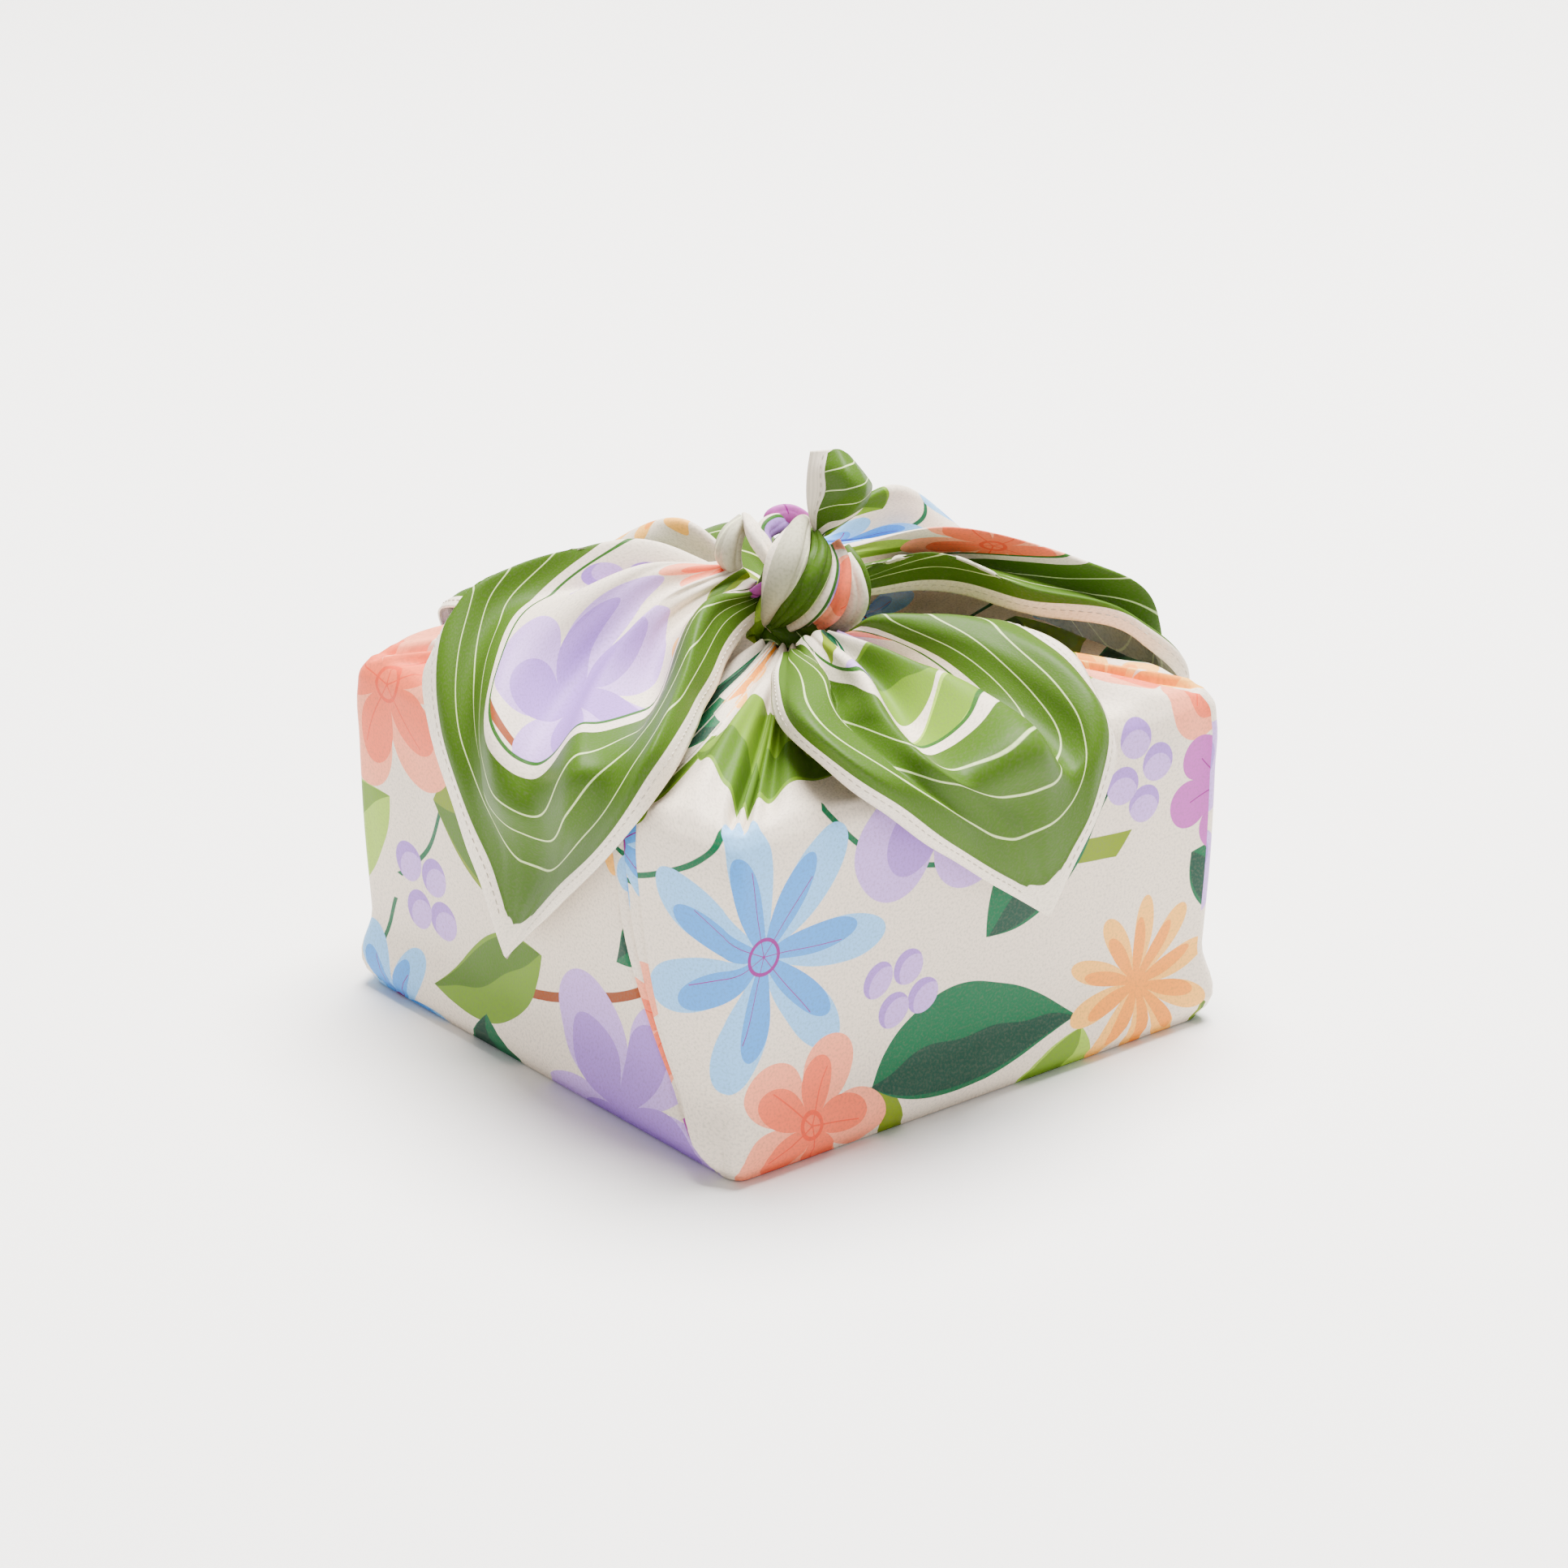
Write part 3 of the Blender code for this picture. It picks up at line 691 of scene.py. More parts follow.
def columns_of(row, samples):
    """Shares of the columns of one row: on the lines along both hems, and even between them."""
    middle = len(samples) // 2
    sides = []
    first_hem = (row[:middle, 3], samples[:middle])
    second_hem = (row[::-1][:middle, 4], samples[::-1][:middle])
    for across, places in (first_hem, second_hem):
        across = np.maximum.accumulate(across)
        most = HEM_MOST * across[-1] / len(HEM_LINES)
        lines = [min(line, most * index) for index, line in enumerate(HEM_LINES)]
        sides.append(np.interp(lines, across, places))
    inner = np.linspace(sides[0][-1], sides[1][-1], EAR_COLUMNS + 1)[1:-1]
    return np.concatenate([sides[0], inner, sides[1][::-1]])


def evened(flat, places):
    """Flat places drawn evenly between their neighbours, with the hems and the point kept."""
    kept = len(HEM_LINES)
    along, across = (
        1.0 / (np.sum(np.diff(places, axis=axis) ** 2, axis=2, keepdims=True) + EVENING_LEAST)
        for axis in (0, 1))
    rows = slice(1, -3)
    columns = slice(kept, -kept)
    up = along[:-3][:, columns]
    down = along[1:-2][:, columns]
    left = across[rows, kept - 1:-kept]
    end = len(flat[0]) - kept
    right = across[rows, kept:end]
    total = up + down + left + right
    for _ in range(EVENING_ROUNDS):
        flat[rows, columns] = (
            up * flat[:-4, columns] + down * flat[2:-2, columns]
            + left * flat[rows, kept - 1:end - 1] + right * flat[rows, kept + 1:end + 1]) / total
    return flat


def ear_surface(name, ear):
    """Places of a draped corner, with each one's distance and angle from the corner's point."""
    shares = [fold[0] for fold in ear["folds"]]
    rows = 1.0 - np.linspace(1.0, 0.0, EAR_ROWS) ** ROW_CROWDING
    samples = np.linspace(-1.0, 1.0, SAMPLE_COLUMNS)
    places = []
    columns = []
    for row in fold_rows(name, ear, rows):
        dense = smooth_through(shares, row, samples, FOLD_ROUNDNESS)
        columns.append(columns_of(dense, samples) if row[:, 3:].any() else columns[-1])
        places.append(smooth_through(shares, row, columns[-1], FOLD_ROUNDNESS))
    places = np.array(places)
    flat = evened(np.maximum(places[..., 3:], 0.0), places[..., :3])
    angle = np.degrees(np.arctan2(flat[..., 0], flat[..., 1])) - EAR_ANGLE
    polar = np.stack([np.linalg.norm(flat, axis=-1), angle], axis=-1)
    return rows, np.array(columns), places[..., :3], polar

# %% Small folds of a draped corner
ROOT_PLEATS = 17
ROOT_PLEAT_HEIGHT = 1.5
ROOT_PLEAT_REACH = 0.30
ROOT_WAVER = 1.6
ROOT_WAVER_CELL = (9.0, 40.0)
SOFT_FOLD_HEIGHT = 0.7
SOFT_FOLD_CELL = (7.0, 55.0)
SOFT_FOLD_FROM_POINT = 60.0
HEM_STEP = 0.3
HEM_STEP_PAST = 0.6
HEM_STEP_WIDTH = 0.8
HEM_WAVE = 0.5
HEM_WAVE_LENGTH = 14.0
HEM_WAVE_REACH = 14.0
HEM_WAVE_FROM_POINT = 25.0
PUSHES = {
    # Places that are pushed out or in: (share, station, reach across, reach along, height)
    "ear_front_left": [
        (-0.30, 0.80, 0.30, 0.06, 3.0),
        (-0.05, 0.885, 0.42, 0.05, -3.5),
        (0.36, 0.62, 0.10, 0.25, -2.0),
        (0.10, 0.40, 0.16, 0.20, -2.0),
    ],
    "ear_front_right": [
        (-0.62, 0.33, 0.06, 0.11, -4.5),
        (-0.10, 0.82, 0.30, 0.06, -1.5),
        (0.45, 0.62, 0.12, 0.12, -2.5),
    ],
}


def small_folds(name, rows, columns, polar, seed):
    """How far each place stands out from the main folds."""
    distance = polar[..., 0]
    angle = polar[..., 1]
    station = rows[:, None]
    waver = soft_noise(angle, distance, *ROOT_WAVER_CELL, seed)
    pleats = np.abs(np.sin(np.radians(angle) * ROOT_PLEATS + ROOT_WAVER * waver + seed))
    root = ROOT_PLEAT_HEIGHT * (pleats - PLEAT_MEAN) * np.exp(-(station / ROOT_PLEAT_REACH) ** 2)
    soft = SOFT_FOLD_HEIGHT * soft_noise(angle, distance, *SOFT_FOLD_CELL, seed + 5)
    soft = soft * np.clip(distance / SOFT_FOLD_FROM_POINT, 0.0, 1.0)
    from_hem = distance * np.sin(np.radians(EAR_ANGLE - np.abs(angle)))
    hem = HEM_STEP * np.clip((HEM_MARGIN + HEM_STEP_PAST - from_hem) / HEM_STEP_WIDTH, 0.0, 1.0)
    wave = HEM_WAVE * soft_noise(distance, angle * 0, HEM_WAVE_LENGTH, 1.0, seed + 9)
    wave = wave * np.exp(-(from_hem / HEM_WAVE_REACH) ** 2)
    wave = wave * np.clip(distance / HEM_WAVE_FROM_POINT, 0.0, 1.0)
    pushed = 0.0
    for share, at, across, along, height in PUSHES.get(name, ()):
        pushed = pushed + height * np.exp(-((columns - share) / across) ** 2 - ((station - at) / along) ** 2)
    return root + soft + hem + wave + pushed


def flat_of_corner(ear, polar):
    """Flat place of each place of a draped corner."""
    sign_x, sign_y = ear["corner"]
    distance = polar[..., 0]
    turn = np.radians(polar[..., 1])
    tip = np.array([sign_x, sign_y]) * CLOTH_SIDE / 2
    inwards = -np.array([sign_x, sign_y]) / math.sqrt(2)
    beside = np.array([-inwards[1], inwards[0]])
    ahead = (distance * np.cos(turn))[..., None] * inwards
    sideways = (distance * np.sin(turn))[..., None] * beside
    return tip + ahead + sideways

# %% Make the draped corners
EAR_RELAX_ROUNDS = 6
# Out over its side and up, before the corner is turned to its own side.
EAR_FACES = np.array([0.6, 0.0, 0.8])
ear_grids = {}


def make_ear(name, ear, seed):
    """One draped corner as a thin sheet."""
    rows, columns, grid, polar = ear_surface(name, ear)
    grid = relaxed(turned(grid, ear["turn"]), EAR_RELAX_ROUNDS)
    outwards = turned(EAR_FACES, ear["turn"])
    normals = grid_normals(grid)
    if np.mean(normals @ outwards) < 0:
        normals = -normals
    grid = grid + normals * small_folds(name, rows, columns, polar, seed)[..., None]
    grid[-1] = grid[-1].mean(axis=0)
    ear_grids[name] = (grid, normals, polar)
    piece = sheet_piece(name, grid, flat_of_corner(ear, polar), outwards)
    thicken(piece, CLOTH_THICKNESS)
    return piece


ears = [make_ear(name, ear, 20 + index) for index, (name, ear) in enumerate(EARS.items())]
for ear in ears:
    print(ear.name, "faces", len(ear.data.polygons))

# %% [markdown]
# ## The small standing point
# Behind the knot a little of one corner's hem stands up as a folded leaf. It
# is the same kind of sheet, read from its own short table. Its turned-over hem
# is a narrow sheet of its own, because only margin shows there.

# %% Standing point
POINT_STATIONS = (0.0, 0.25, 0.55, 0.8, 1.0)
POINT_ROWS = 48
POINT_COLUMNS = 60
POINT_FOLDS = [
    # (share, root, waist, belly, brow, top)
    (0.00, (2.3, -11.0, 146.7), (0.9, -9.9, 153.5), (1.0, -8.7, 160.1),
     (1.3, -8.9, 166.6), (2.5, -8.6, 171.6)),
    (0.25, (2.1, -12.1, 147.0), (2.2, -12.2, 153.8), (3.4, -14.4, 161.4),
     (3.2, -14.3, 167.7), (5.9, -12.6, 172.4)),
    (0.50, (2.7, -13.9, 147.4), (4.0, -16.2, 155.0), (4.1, -22.8, 162.5),
     (5.2, -21.1, 168.6), (8.2, -14.5, 172.6)),
    (0.75, (3.9, -14.9, 147.9), (6.1, -20.5, 154.7), (8.8, -25.3, 162.4),
     (9.7, -22.1, 167.1), (10.8, -15.3, 170.9)),
    (1.00, (6.3, -14.2, 148.1), (11.6, -19.8, 154.8), (15.6, -20.4, 161.1),
     (14.8, -18.5, 164.6), (13.2, -14.6, 168.7)),
]
# The turned-over hem is the first part of the leaf's width.
HEM_SHARE = 0.25
HEM_COLUMNS = 20
HEM_FROM = 1.0
HEM_TO = 8.0
POINT_FROM_HEM = (56.0, 12.0)
POINT_LEAN = 14.0
POINT_LEANS_FROM = 0.6
POINT_WIDTH = 30.0
TOWARDS_FRONT = np.array([-0.6, -0.8, 0.1])
# The stitches run in the hem's outer part, clear of its cloth.
HEM_LINE_SHARE = 0.7
HEM_LINE_LIFT = 0.12
HEM_LINE_ENDS = 3
standing_hem_line = []


def leaf_from_hem(last, rows, across):
    """How far each place of the leaf lies from the cloth's hem in the flat."""
    if last <= HEM_SHARE:
        from_hem = HEM_FROM + (HEM_TO - HEM_FROM) * across / HEM_SHARE
        return np.broadcast_to(from_hem, (len(rows), len(across)))
    root, top = POINT_FROM_HEM
    return root + (top - root) * rows[:, None] + POINT_LEAN * (across[None, :] - POINT_LEANS_FROM)


def make_leaf(name, first, last, columns):
    """A part of the folded leaf between two shares of its width."""
    shares = [fold[0] for fold in POINT_FOLDS]
    table = np.swapaxes(np.array([fold[1:] for fold in POINT_FOLDS], float), 0, 1)
    rows = np.linspace(0.0, 1.0, POINT_ROWS)
    across = np.linspace(first, last, columns)
    knots = smooth_through(POINT_STATIONS, table, rows)
    grid = np.array([smooth_through(shares, row, across, FOLD_ROUNDNESS) for row in knots])
    flat = np.empty(grid.shape[:2] + (2,))
    flat[..., 0] = POINT_WIDTH * across[None, :]
    flat[..., 1] = CLOTH_SIDE / 2 - leaf_from_hem(last, rows, across)
    piece = sheet_piece(name, grid, flat, TOWARDS_FRONT)
    thicken(piece, CLOTH_THICKNESS)
    if last <= HEM_SHARE:
        line = grid[HEM_LINE_ENDS:-HEM_LINE_ENDS, int(columns * HEM_LINE_SHARE)]
        standing_hem_line.append(line + TOWARDS_FRONT * HEM_LINE_LIFT)
    return piece


standing_leaf = [
    make_leaf("standing_hem", 0.0, HEM_SHARE, HEM_COLUMNS),
    make_leaf("standing_point", HEM_SHARE, 1.0, POINT_COLUMNS),
]
print("standing leaf", [piece.name for piece in standing_leaf])

# %% [markdown]
# ## The knots
# Two square knots lie one above the other. What shows of them are folds of
# cloth that bend over each other. Each is a sheet rolled round a smooth path,
# with rounded pleats and sharp valleys between them that wind a little, and
# its seam lies on the knot's inner side. Simulated cloth can be pulled into a
# knot too, but then no fold would lie where it should.

# %% Table of the strands
KNOT_CENTRE = (-1.0, -9.0, 132.0)


def print_place(x, y, cell=(0, 1)):
    """Flat place, in millimetres, of a place on the print's tile given in metres."""
    on_tile = np.array([x + cell[0] * TILE, y + cell[1] * TILE, 0.0]) / MM
    return tuple(turned(on_tile, -TILE_TURN)[:2])


def inside_hem(from_hem, along):
    """Flat place at a distance from the cloth's hem."""
    return CLOTH_SIDE / 2 - from_hem, along


STRANDS = {
    # name: (pleats, twist in turns, reverse shows, flat place, stops (x, y, z, half width, half depth))
    "knot_core": (5, 0.3, False, inside_hem(30, 0), [
        (-2, -8, 112, 9, 8), (-1, -9, 122, 11, 9.5), (-1, -9, 134, 11, 9.5),
        (-1, -8, 143, 8, 7), (0, -7, 149, 3, 3),
    ]),
    "band_broad": (3, 0.1, True, inside_hem(11, 120), [
        (3.4, -5.4, 148.8, 1.8, 2.5), (-4.4, -12.0, 150.9, 3.3, 3), (-11.9, -16.2, 146.0, 5.5, 3.5),
        (-14.8, -15.2, 137.2, 4.8, 3.5), (-13.7, -10.9, 128.9, 2.9, 3), (-9.0, -3.1, 120.1, 1.5, 2.5),
    ]),
    "band_green": (5, 0.15, False, inside_hem(24, 40), [
        (3.4, -9.3, 146.9, 1.5, 2.5), (-2.3, -18.9, 145.0, 3.1, 3.2), (-6.9, -21.6, 140.6, 4.2, 3.6),
        (-9.9, -19.2, 133.5, 4.0, 3.4), (-11.3, -14.1, 127.3, 2.6, 3), (-9.3, -4.2, 120.0, 1.3, 2.2),
    ]),
    "band_white": (2, 0.1, False, inside_hem(52.5, 10), [
        (3.3, -15.7, 144.3, 1.1, 2), (-0.4, -21.6, 140.3, 2.0, 3), (-4.7, -23.3, 134.0, 2.6, 3.2),
        (-7.0, -18.9, 127.7, 2.6, 3), (-7.8, -10.5, 121.8, 1.8, 2.2),
    ]),
    "band_coral": (3, 0.1, False, print_place(0.0769, 0.0281), [
        (6.0, -15.3, 145.1, 0.9, 2), (3.2, -22.0, 140.8, 2.4, 3), (-0.1, -24.5, 134.0, 3.1, 3.4),
        (-1.5, -20.8, 127.2, 3.5, 3.2), (-2.4, -11.1, 119.9, 2.0, 2.2),
    ]),
    "band_cream": (3, 0.1, False, inside_hem(4, -60), [
        (9.4, -15.5, 140.5, 0.9, 2), (7.6, -21.7, 136.3, 2.0, 3), (7.7, -23.0, 130.3, 2.4, 3.2),
        (7.2, -20.1, 124.2, 2.2, 3), (4.6, -14.2, 119.6, 1.5, 2.2),
    ]),
    "band_edge": (1, 0.0, False, inside_hem(33, -90), [
        (11.6, -12.1, 141.5, 0.7, 2), (11.7, -17.3, 137.5, 1.3, 2.6), (12.6, -19.3, 131.5, 1.3, 2.6),
        (14.5, -17.0, 124.0, 0.9, 2),
    ]),
    "loop_pale": (4, 0.2, True, inside_hem(20, 80), [
        (-14.7, 4.0, 136.1, 2.2, 2.4), (-17.4, 3.6, 142.2, 3.3, 3.4), (-15.8, 3.7, 147.1, 3.3, 3.2),
        (-10.5, 4.5, 150.3, 1.8, 2.4),
    ]),
    "loop_hem": (3, 0.0, True, inside_hem(3, 150), [
        (-10.4, -9.7, 140.0, 1.3, 2.2), (-13.5, -8.5, 145.2, 2.6, 3), (-14.1, -4.1, 149.9, 2.4, 3),
        (-11.4, 2.6, 152.0, 1.1, 2),
    ]),
    "loop_line": (2, 0.1, False, inside_hem(50, -20), [
        (0.1, -2.8, 149.0, 1.3, 2.2), (-6.6, -3.8, 150.5, 2.0, 2.8), (-11.4, -5.1, 149.3, 2.0, 2.8),
        (-12.4, -8.1, 144.8, 1.8, 2.6), (-10.2, -8.6, 141.0, 1.1, 2),
    ]),
    "top_magenta": (2, 0.1, False, print_place(-0.120, -0.122), [
        (-5.1, 0.2, 146.9, 1.1, 2), (-4.9, -1.3, 151.4, 1.5, 2.4), (-0.9, -3.3, 152.3, 1.5, 2.6),
        (2.4, -5.9, 150.1, 1.3, 2.4), (4.3, -7.5, 146.2, 0.9, 2),
    ]),
    "low_leaf": (2, 0.1, False, print_place(0.104, 0.050), [
        (-9.0, -8.3, 135.3, 1.3, 2), (-12.0, -8.4, 130.2, 2.6, 2.8), (-13.5, -4.7, 121.6, 2.6, 2.6),
        (-13.6, -0.7, 113.6, 1.8, 2),
    ]),
    "low_magenta": (1, 0.1, False, print_place(-0.120, -0.122), [
        (-14.2, -1.5, 129.2, 1.1, 2), (-13.2, -6.2, 133.3, 1.3, 2.2), (-9.2, -8.2, 135.1, 0.9, 2),
    ]),
    "under_green": (3, 0.1, False, inside_hem(30, -100), [
        (-11.7, 4.2, 120.1, 2.0, 3), (-8.6, -4.8, 119.8, 2.9, 3.6), (-2.0, -11.4, 119.4, 3.1, 3.6),
        (9.9, -13.2, 120.1, 2.2, 3),
    ]),
    "under_petal": (2, 0.1, False, print_place(-0.0506, -0.0606), [
        (-0.8, -9.8, 121.1, 1.3, 2), (-5.5, -9.8, 118.0, 2.0, 2.6), (-6.7, -7.6, 113.2, 1.3, 2),
    ]),
    "under_knot": (5, 0.15, False, inside_hem(30, 200), [
        (-13, -14, 115, 4, 4), (-8, -9, 116, 8, 6), (2, -3, 118, 12, 7),
        (12, 8, 118, 11, 7), (18, 18, 116, 6, 5),
    ]),
}

# %% Make a strand
STRAND_SIDES = 72
STRAND_ROWS = 60
STRAND_THICKNESS = 0.4
STRAND_PLEAT = 0.28
STRAND_WAVER = 0.5
STRAND_WAVER_CELL = (50.0, 35.0)
STRAND_WAVER_SHIFT = 400
STRAND_LUMP = 0.06
STRAND_LUMP_CELL = (70.0, 28.0)
STRAND_LUMP_SHIFT = 720
STRAND_SEED = 60
reversed_strands = []


def strand_section(pleats, twist, share, angle, seed):
    """How full the strand is round its section: rounded pleats, sharp valleys."""
    around = np.degrees(angle)
    along = share * 100
    waver = soft_noise(around + STRAND_WAVER_SHIFT, along, *STRAND_WAVER_CELL, seed)
    phase = pleats * angle / 2 + math.pi * twist * share + STRAND_WAVER * waver
    fold = np.abs(np.cos(phase)) - PLEAT_MEAN
    lump = STRAND_LUMP * soft_noise(around + STRAND_LUMP_SHIFT, along, *STRAND_LUMP_CELL, seed + 3)
    return 1.0 + STRAND_PLEAT * fold + lump


def square_to(forward, direction):
    """A direction with its part along forward taken out."""
    return direction - forward * np.dot(direction, forward)


def make_strand(name, row_of_table, seed):
    """A fold of the knot: cloth rolled round a smooth path, its seam on the knot's inner side."""
    pleats, twist, reverse, flat_start, stops = row_of_table
    stops = np.array(stops, float)
    shares = np.linspace(0.0, 1.0, STRAND_ROWS)
    line = smooth_through(np.linspace(0.0, 1.0, len(stops)), stops, shares)
    centres = line[:, :3]
    forward = np.gradient(centres, axis=0)
    forward /= np.linalg.norm(forward, axis=1)[:, None]
    angle = np.linspace(-math.pi, math.pi, STRAND_SIDES + 1)
    grid = []
    for index, share in enumerate(shares):
        outward = square_to(forward[index], centres[index] - KNOT_CENTRE) + TOWARDS_FRONT
        outward = square_to(forward[index], outward)
        outward /= np.linalg.norm(outward)
        across = np.cross(forward[index], outward)
        full = strand_section(pleats, twist, share, angle[:-1], seed)
        full = np.append(full, full[0])
        grid.append(
            centres[index]
            + np.outer(line[index, 3] * full * np.sin(angle), across)
            + np.outer(line[index, 4] * full * np.cos(angle), outward))
    grid = np.array(grid)
    girth = np.linalg.norm(np.diff(grid, axis=1), axis=2).sum(axis=1)
    run = np.concatenate([[0.0], np.cumsum(np.linalg.norm(np.diff(centres, axis=0), axis=1))])
    flat = np.empty(grid.shape[:2] + (2,))
    flat[..., 0] = flat_start[0] + girth[:, None] * angle[None, :] / math.tau
    flat[..., 1] = flat_start[1] + run[:, None] - run[-1] / 2
    half = STRAND_ROWS // 2
    seen = grid[half, STRAND_SIDES // 2] - centres[half]
    piece = sheet_piece(name, grid, flat, seen)
    thicken(piece, STRAND_THICKNESS)
    if reverse:
        reversed_strands.append(piece)
    return piece


strands = [
    make_strand(name, row, STRAND_SEED + index)
    for index, (name, row) in enumerate(STRANDS.items())]
print("strands", [strand.name for strand in strands])

# %% [markdown]
# ## Shader maths as Python
# A printed cloth is a long sum of small masks. Written as nodes by hand that
# would be hard to read, so one class wraps a number on a wire, and Python's
# own operators add the Math nodes.

# %% A number on a wire, and the bench that makes nodes
class Wire:
    """A number on a shader's wire. Operators on it add Math nodes."""

    def __init__(self, bench, socket):
        self.bench = bench
        self.socket = socket

    def maths(self, operation, *others):
        return self.bench.maths(operation, self, *others)

    def __add__(self, other):
        return self.maths("ADD", other)

    def __sub__(self, other):
        return self.maths("SUBTRACT", other)

    def __rsub__(self, other):
        return self.bench.maths("SUBTRACT", other, self)

    def __mul__(self, other):
        return self.maths("MULTIPLY", other)

    def __truediv__(self, other):
        return self.maths("DIVIDE", other)

    def __rtruediv__(self, other):
        return self.bench.maths("DIVIDE", other, self)

    def __pow__(self, other):
        return self.maths("POWER", other)

    def __abs__(self):
        return self.maths("ABSOLUTE")

    __radd__ = __add__
    __rmul__ = __mul__


class Bench:
    """A node tree that is being put together."""

    def __init__(self, tree):
        self.tree = tree

    def node(self, kind, settings=None, sockets=None):
        """Add a node: its settings first, then the values or wires of its sockets."""
        made = self.tree.nodes.new(kind)
        for name, value in (settings or {}).items():
            setattr(made, name, value)
        for key, value in (sockets or {}).items():
            if isinstance(value, Wire):
                value = value.socket
            if isinstance(value, bpy.types.NodeSocket):
                self.tree.links.new(value, made.inputs[key])
            else:
                made.inputs[key].default_value = value
        return made

    def maths(self, operation, *values):
        """Add a Math node."""
        made = self.node("ShaderNodeMath", {"operation": operation}, dict(enumerate(values)))
        return Wire(self, made.outputs[0])

    def share(self, value):
        """A number kept between 0 and 1."""
        settings = {"operation": "ADD", "use_clamp": True}
        return Wire(self, self.node("ShaderNodeMath", settings, {0: value, 1: 0.0}).outputs[0])

    def over(self, mask, below, above):
        """Lay one colour over another where the mask is 1."""
        sockets = {0: mask, 6: below, 7: above}
        return self.node("ShaderNodeMix", {"data_type": "RGBA"}, sockets).outputs[2]


def paint(red, green, blue):
    """A colour given as a screen shows it, as the shader needs it."""
    channels = []
    for value in (red, green, blue):
        part = value / 255.0
        channels.append(part / 12.92 if part <= 0.04045 else ((part + 0.055) / 1.055) ** 2.4)
    return (*channels, 1.0)

# %% [markdown]
# ## The print
# The cloth has a large floral print in clear colours: round blossoms, daisies,
# leaves, berries and stems. A painted picture could be laid on it, but each
# motif is simple enough for a short formula in its own small frame, which
# stays sharp at any distance. They repeat on a turned square tile, and a green
# band with three fine lines frames the cloth inside a white hem.

# %% Colours of the print
GROUND = paint(232, 218, 200)
MARGIN = paint(236, 224, 205)
GREEN = paint(62, 94, 18)
PALE_LINE = paint(196, 214, 150)
LINE_GREEN = paint(44, 92, 30)
LAVENDER = paint(192, 156, 226)
LAVENDER_SHADE = paint(160, 120, 206)
CORAL = paint(250, 152, 118)
CORAL_SHADE = paint(238, 106, 72)
CORAL_LINE = paint(224, 74, 46)
BLUE = paint(134, 192, 242)
BLUE_SHADE = paint(72, 148, 226)
PURPLE = paint(132, 30, 122)
MAGENTA = paint(180, 82, 172)
ORANGE = paint(252, 184, 86)
ORANGE_SHADE = paint(242, 146, 46)
OLIVE = paint(112, 134, 16)
LEAF = paint(104, 140, 30)
LEAF_SHADE = paint(72, 106, 22)
FRESH = paint(152, 188, 62)
DEEP = paint(12, 92, 58)
DEEP_SHADE = paint(22, 62, 48)
BROWN = paint(138, 66, 30)

# %% Frames of the motifs
EDGE_SOFTNESS = 0.00022


class Print:
    """The print under construction: its bench, the colour so far and the place on the tile."""

    def __init__(self, bench, across, up, ground):
        self.bench = bench
        self.across = across
        self.up = up
        self.colour = ground

    def inside(self, distance):
        """Mask that is 1 where a distance is above zero."""
        return self.bench.share(distance / EDGE_SOFTNESS + 0.5)

    def lay(self, mask, colour):
        self.colour = self.bench.over(mask, self.colour, colour)

    def frame(self, centre, turn):
        """Places measured from a motif's own middle, repeated with the tile."""
        offsets = []
        for value, middle in zip((self.across, self.up), centre):
            offset = ((value - middle) / TILE + 0.5).maths("FRACT")
            offsets.append((offset - 0.5) * TILE)
        cosine = math.cos(math.radians(turn))
        sine = math.sin(math.radians(turn))
        x = offsets[0] * cosine + offsets[1] * sine
        y = offsets[1] * cosine - offsets[0] * sine
        return x, y


def polar(x, y):
    """Distance and angle of a place in a motif's frame."""
    distance = (x * x + y * y).maths("SQRT")
    return distance, y.maths("ARCTAN2", x)

# %% Motifs
def blossom(cloth_print, centre, turn, radius, petals, cleft, fullness, light, shade, line):
    """An open flower: petals in two tones, a fine line down each and a small heart."""
    distance, angle = polar(*cloth_print.frame(centre, turn))
    lobe = abs((angle * (petals / 2)).maths("COSINE"))
    edge = lobe ** fullness * (radius * (1 - cleft)) + radius * cleft
    cloth_print.lay(cloth_print.inside(edge - distance), light)
    turned_lobe = abs((angle * (petals / 2) + 0.45).maths("COSINE"))
    shaded = turned_lobe ** (fullness * 1.6) * (radius * 0.8 * (1 - cleft)) + radius * cleft * 0.6
    cloth_print.lay(cloth_print.inside(shaded - distance), shade)
    vein = abs((angle * (petals / 2)).maths("SINE")) * distance
    drawn = cloth_print.inside(0.0005 - vein) * cloth_print.inside(radius * 0.62 - distance)
    cloth_print.lay(drawn, line)
    heart = abs(distance - radius * 0.13)
    cloth_print.lay(cloth_print.inside(0.0006 - heart), line)


def leaf(cloth_print, centre, turn, length, width, bend, light, shade):
    """A pointed leaf with one half darker."""
    x, y = cloth_print.frame(centre, turn)
    y = y - x * x * bend
    along = x / (length / 2)
    half = (1 - along * along).maths("MAXIMUM", 0.0) * (1 - along * 0.4) * width
    cloth_print.lay(cloth_print.inside(half - abs(y) - EDGE_SOFTNESS), light)
    wave = (x * 260.0).maths("SINE") * 0.0006
    dark_half = cloth_print.inside(half * 0.9 - abs(y) - EDGE_SOFTNESS) * cloth_print.inside(y + wave)
    cloth_print.lay(dark_half, shade)


def stem(cloth_print, centre, turn, length, width, radius, colour):
    """A curved stem: a piece of a circle through its own middle."""
    x, y = cloth_print.frame(centre, turn)
    distance = ((x + radius) * (x + radius) + y * y).maths("SQRT")
    line = cloth_print.inside(width / 2 - abs(distance - radius))
    cloth_print.lay(line * cloth_print.inside(length / 2 - abs(y)), colour)


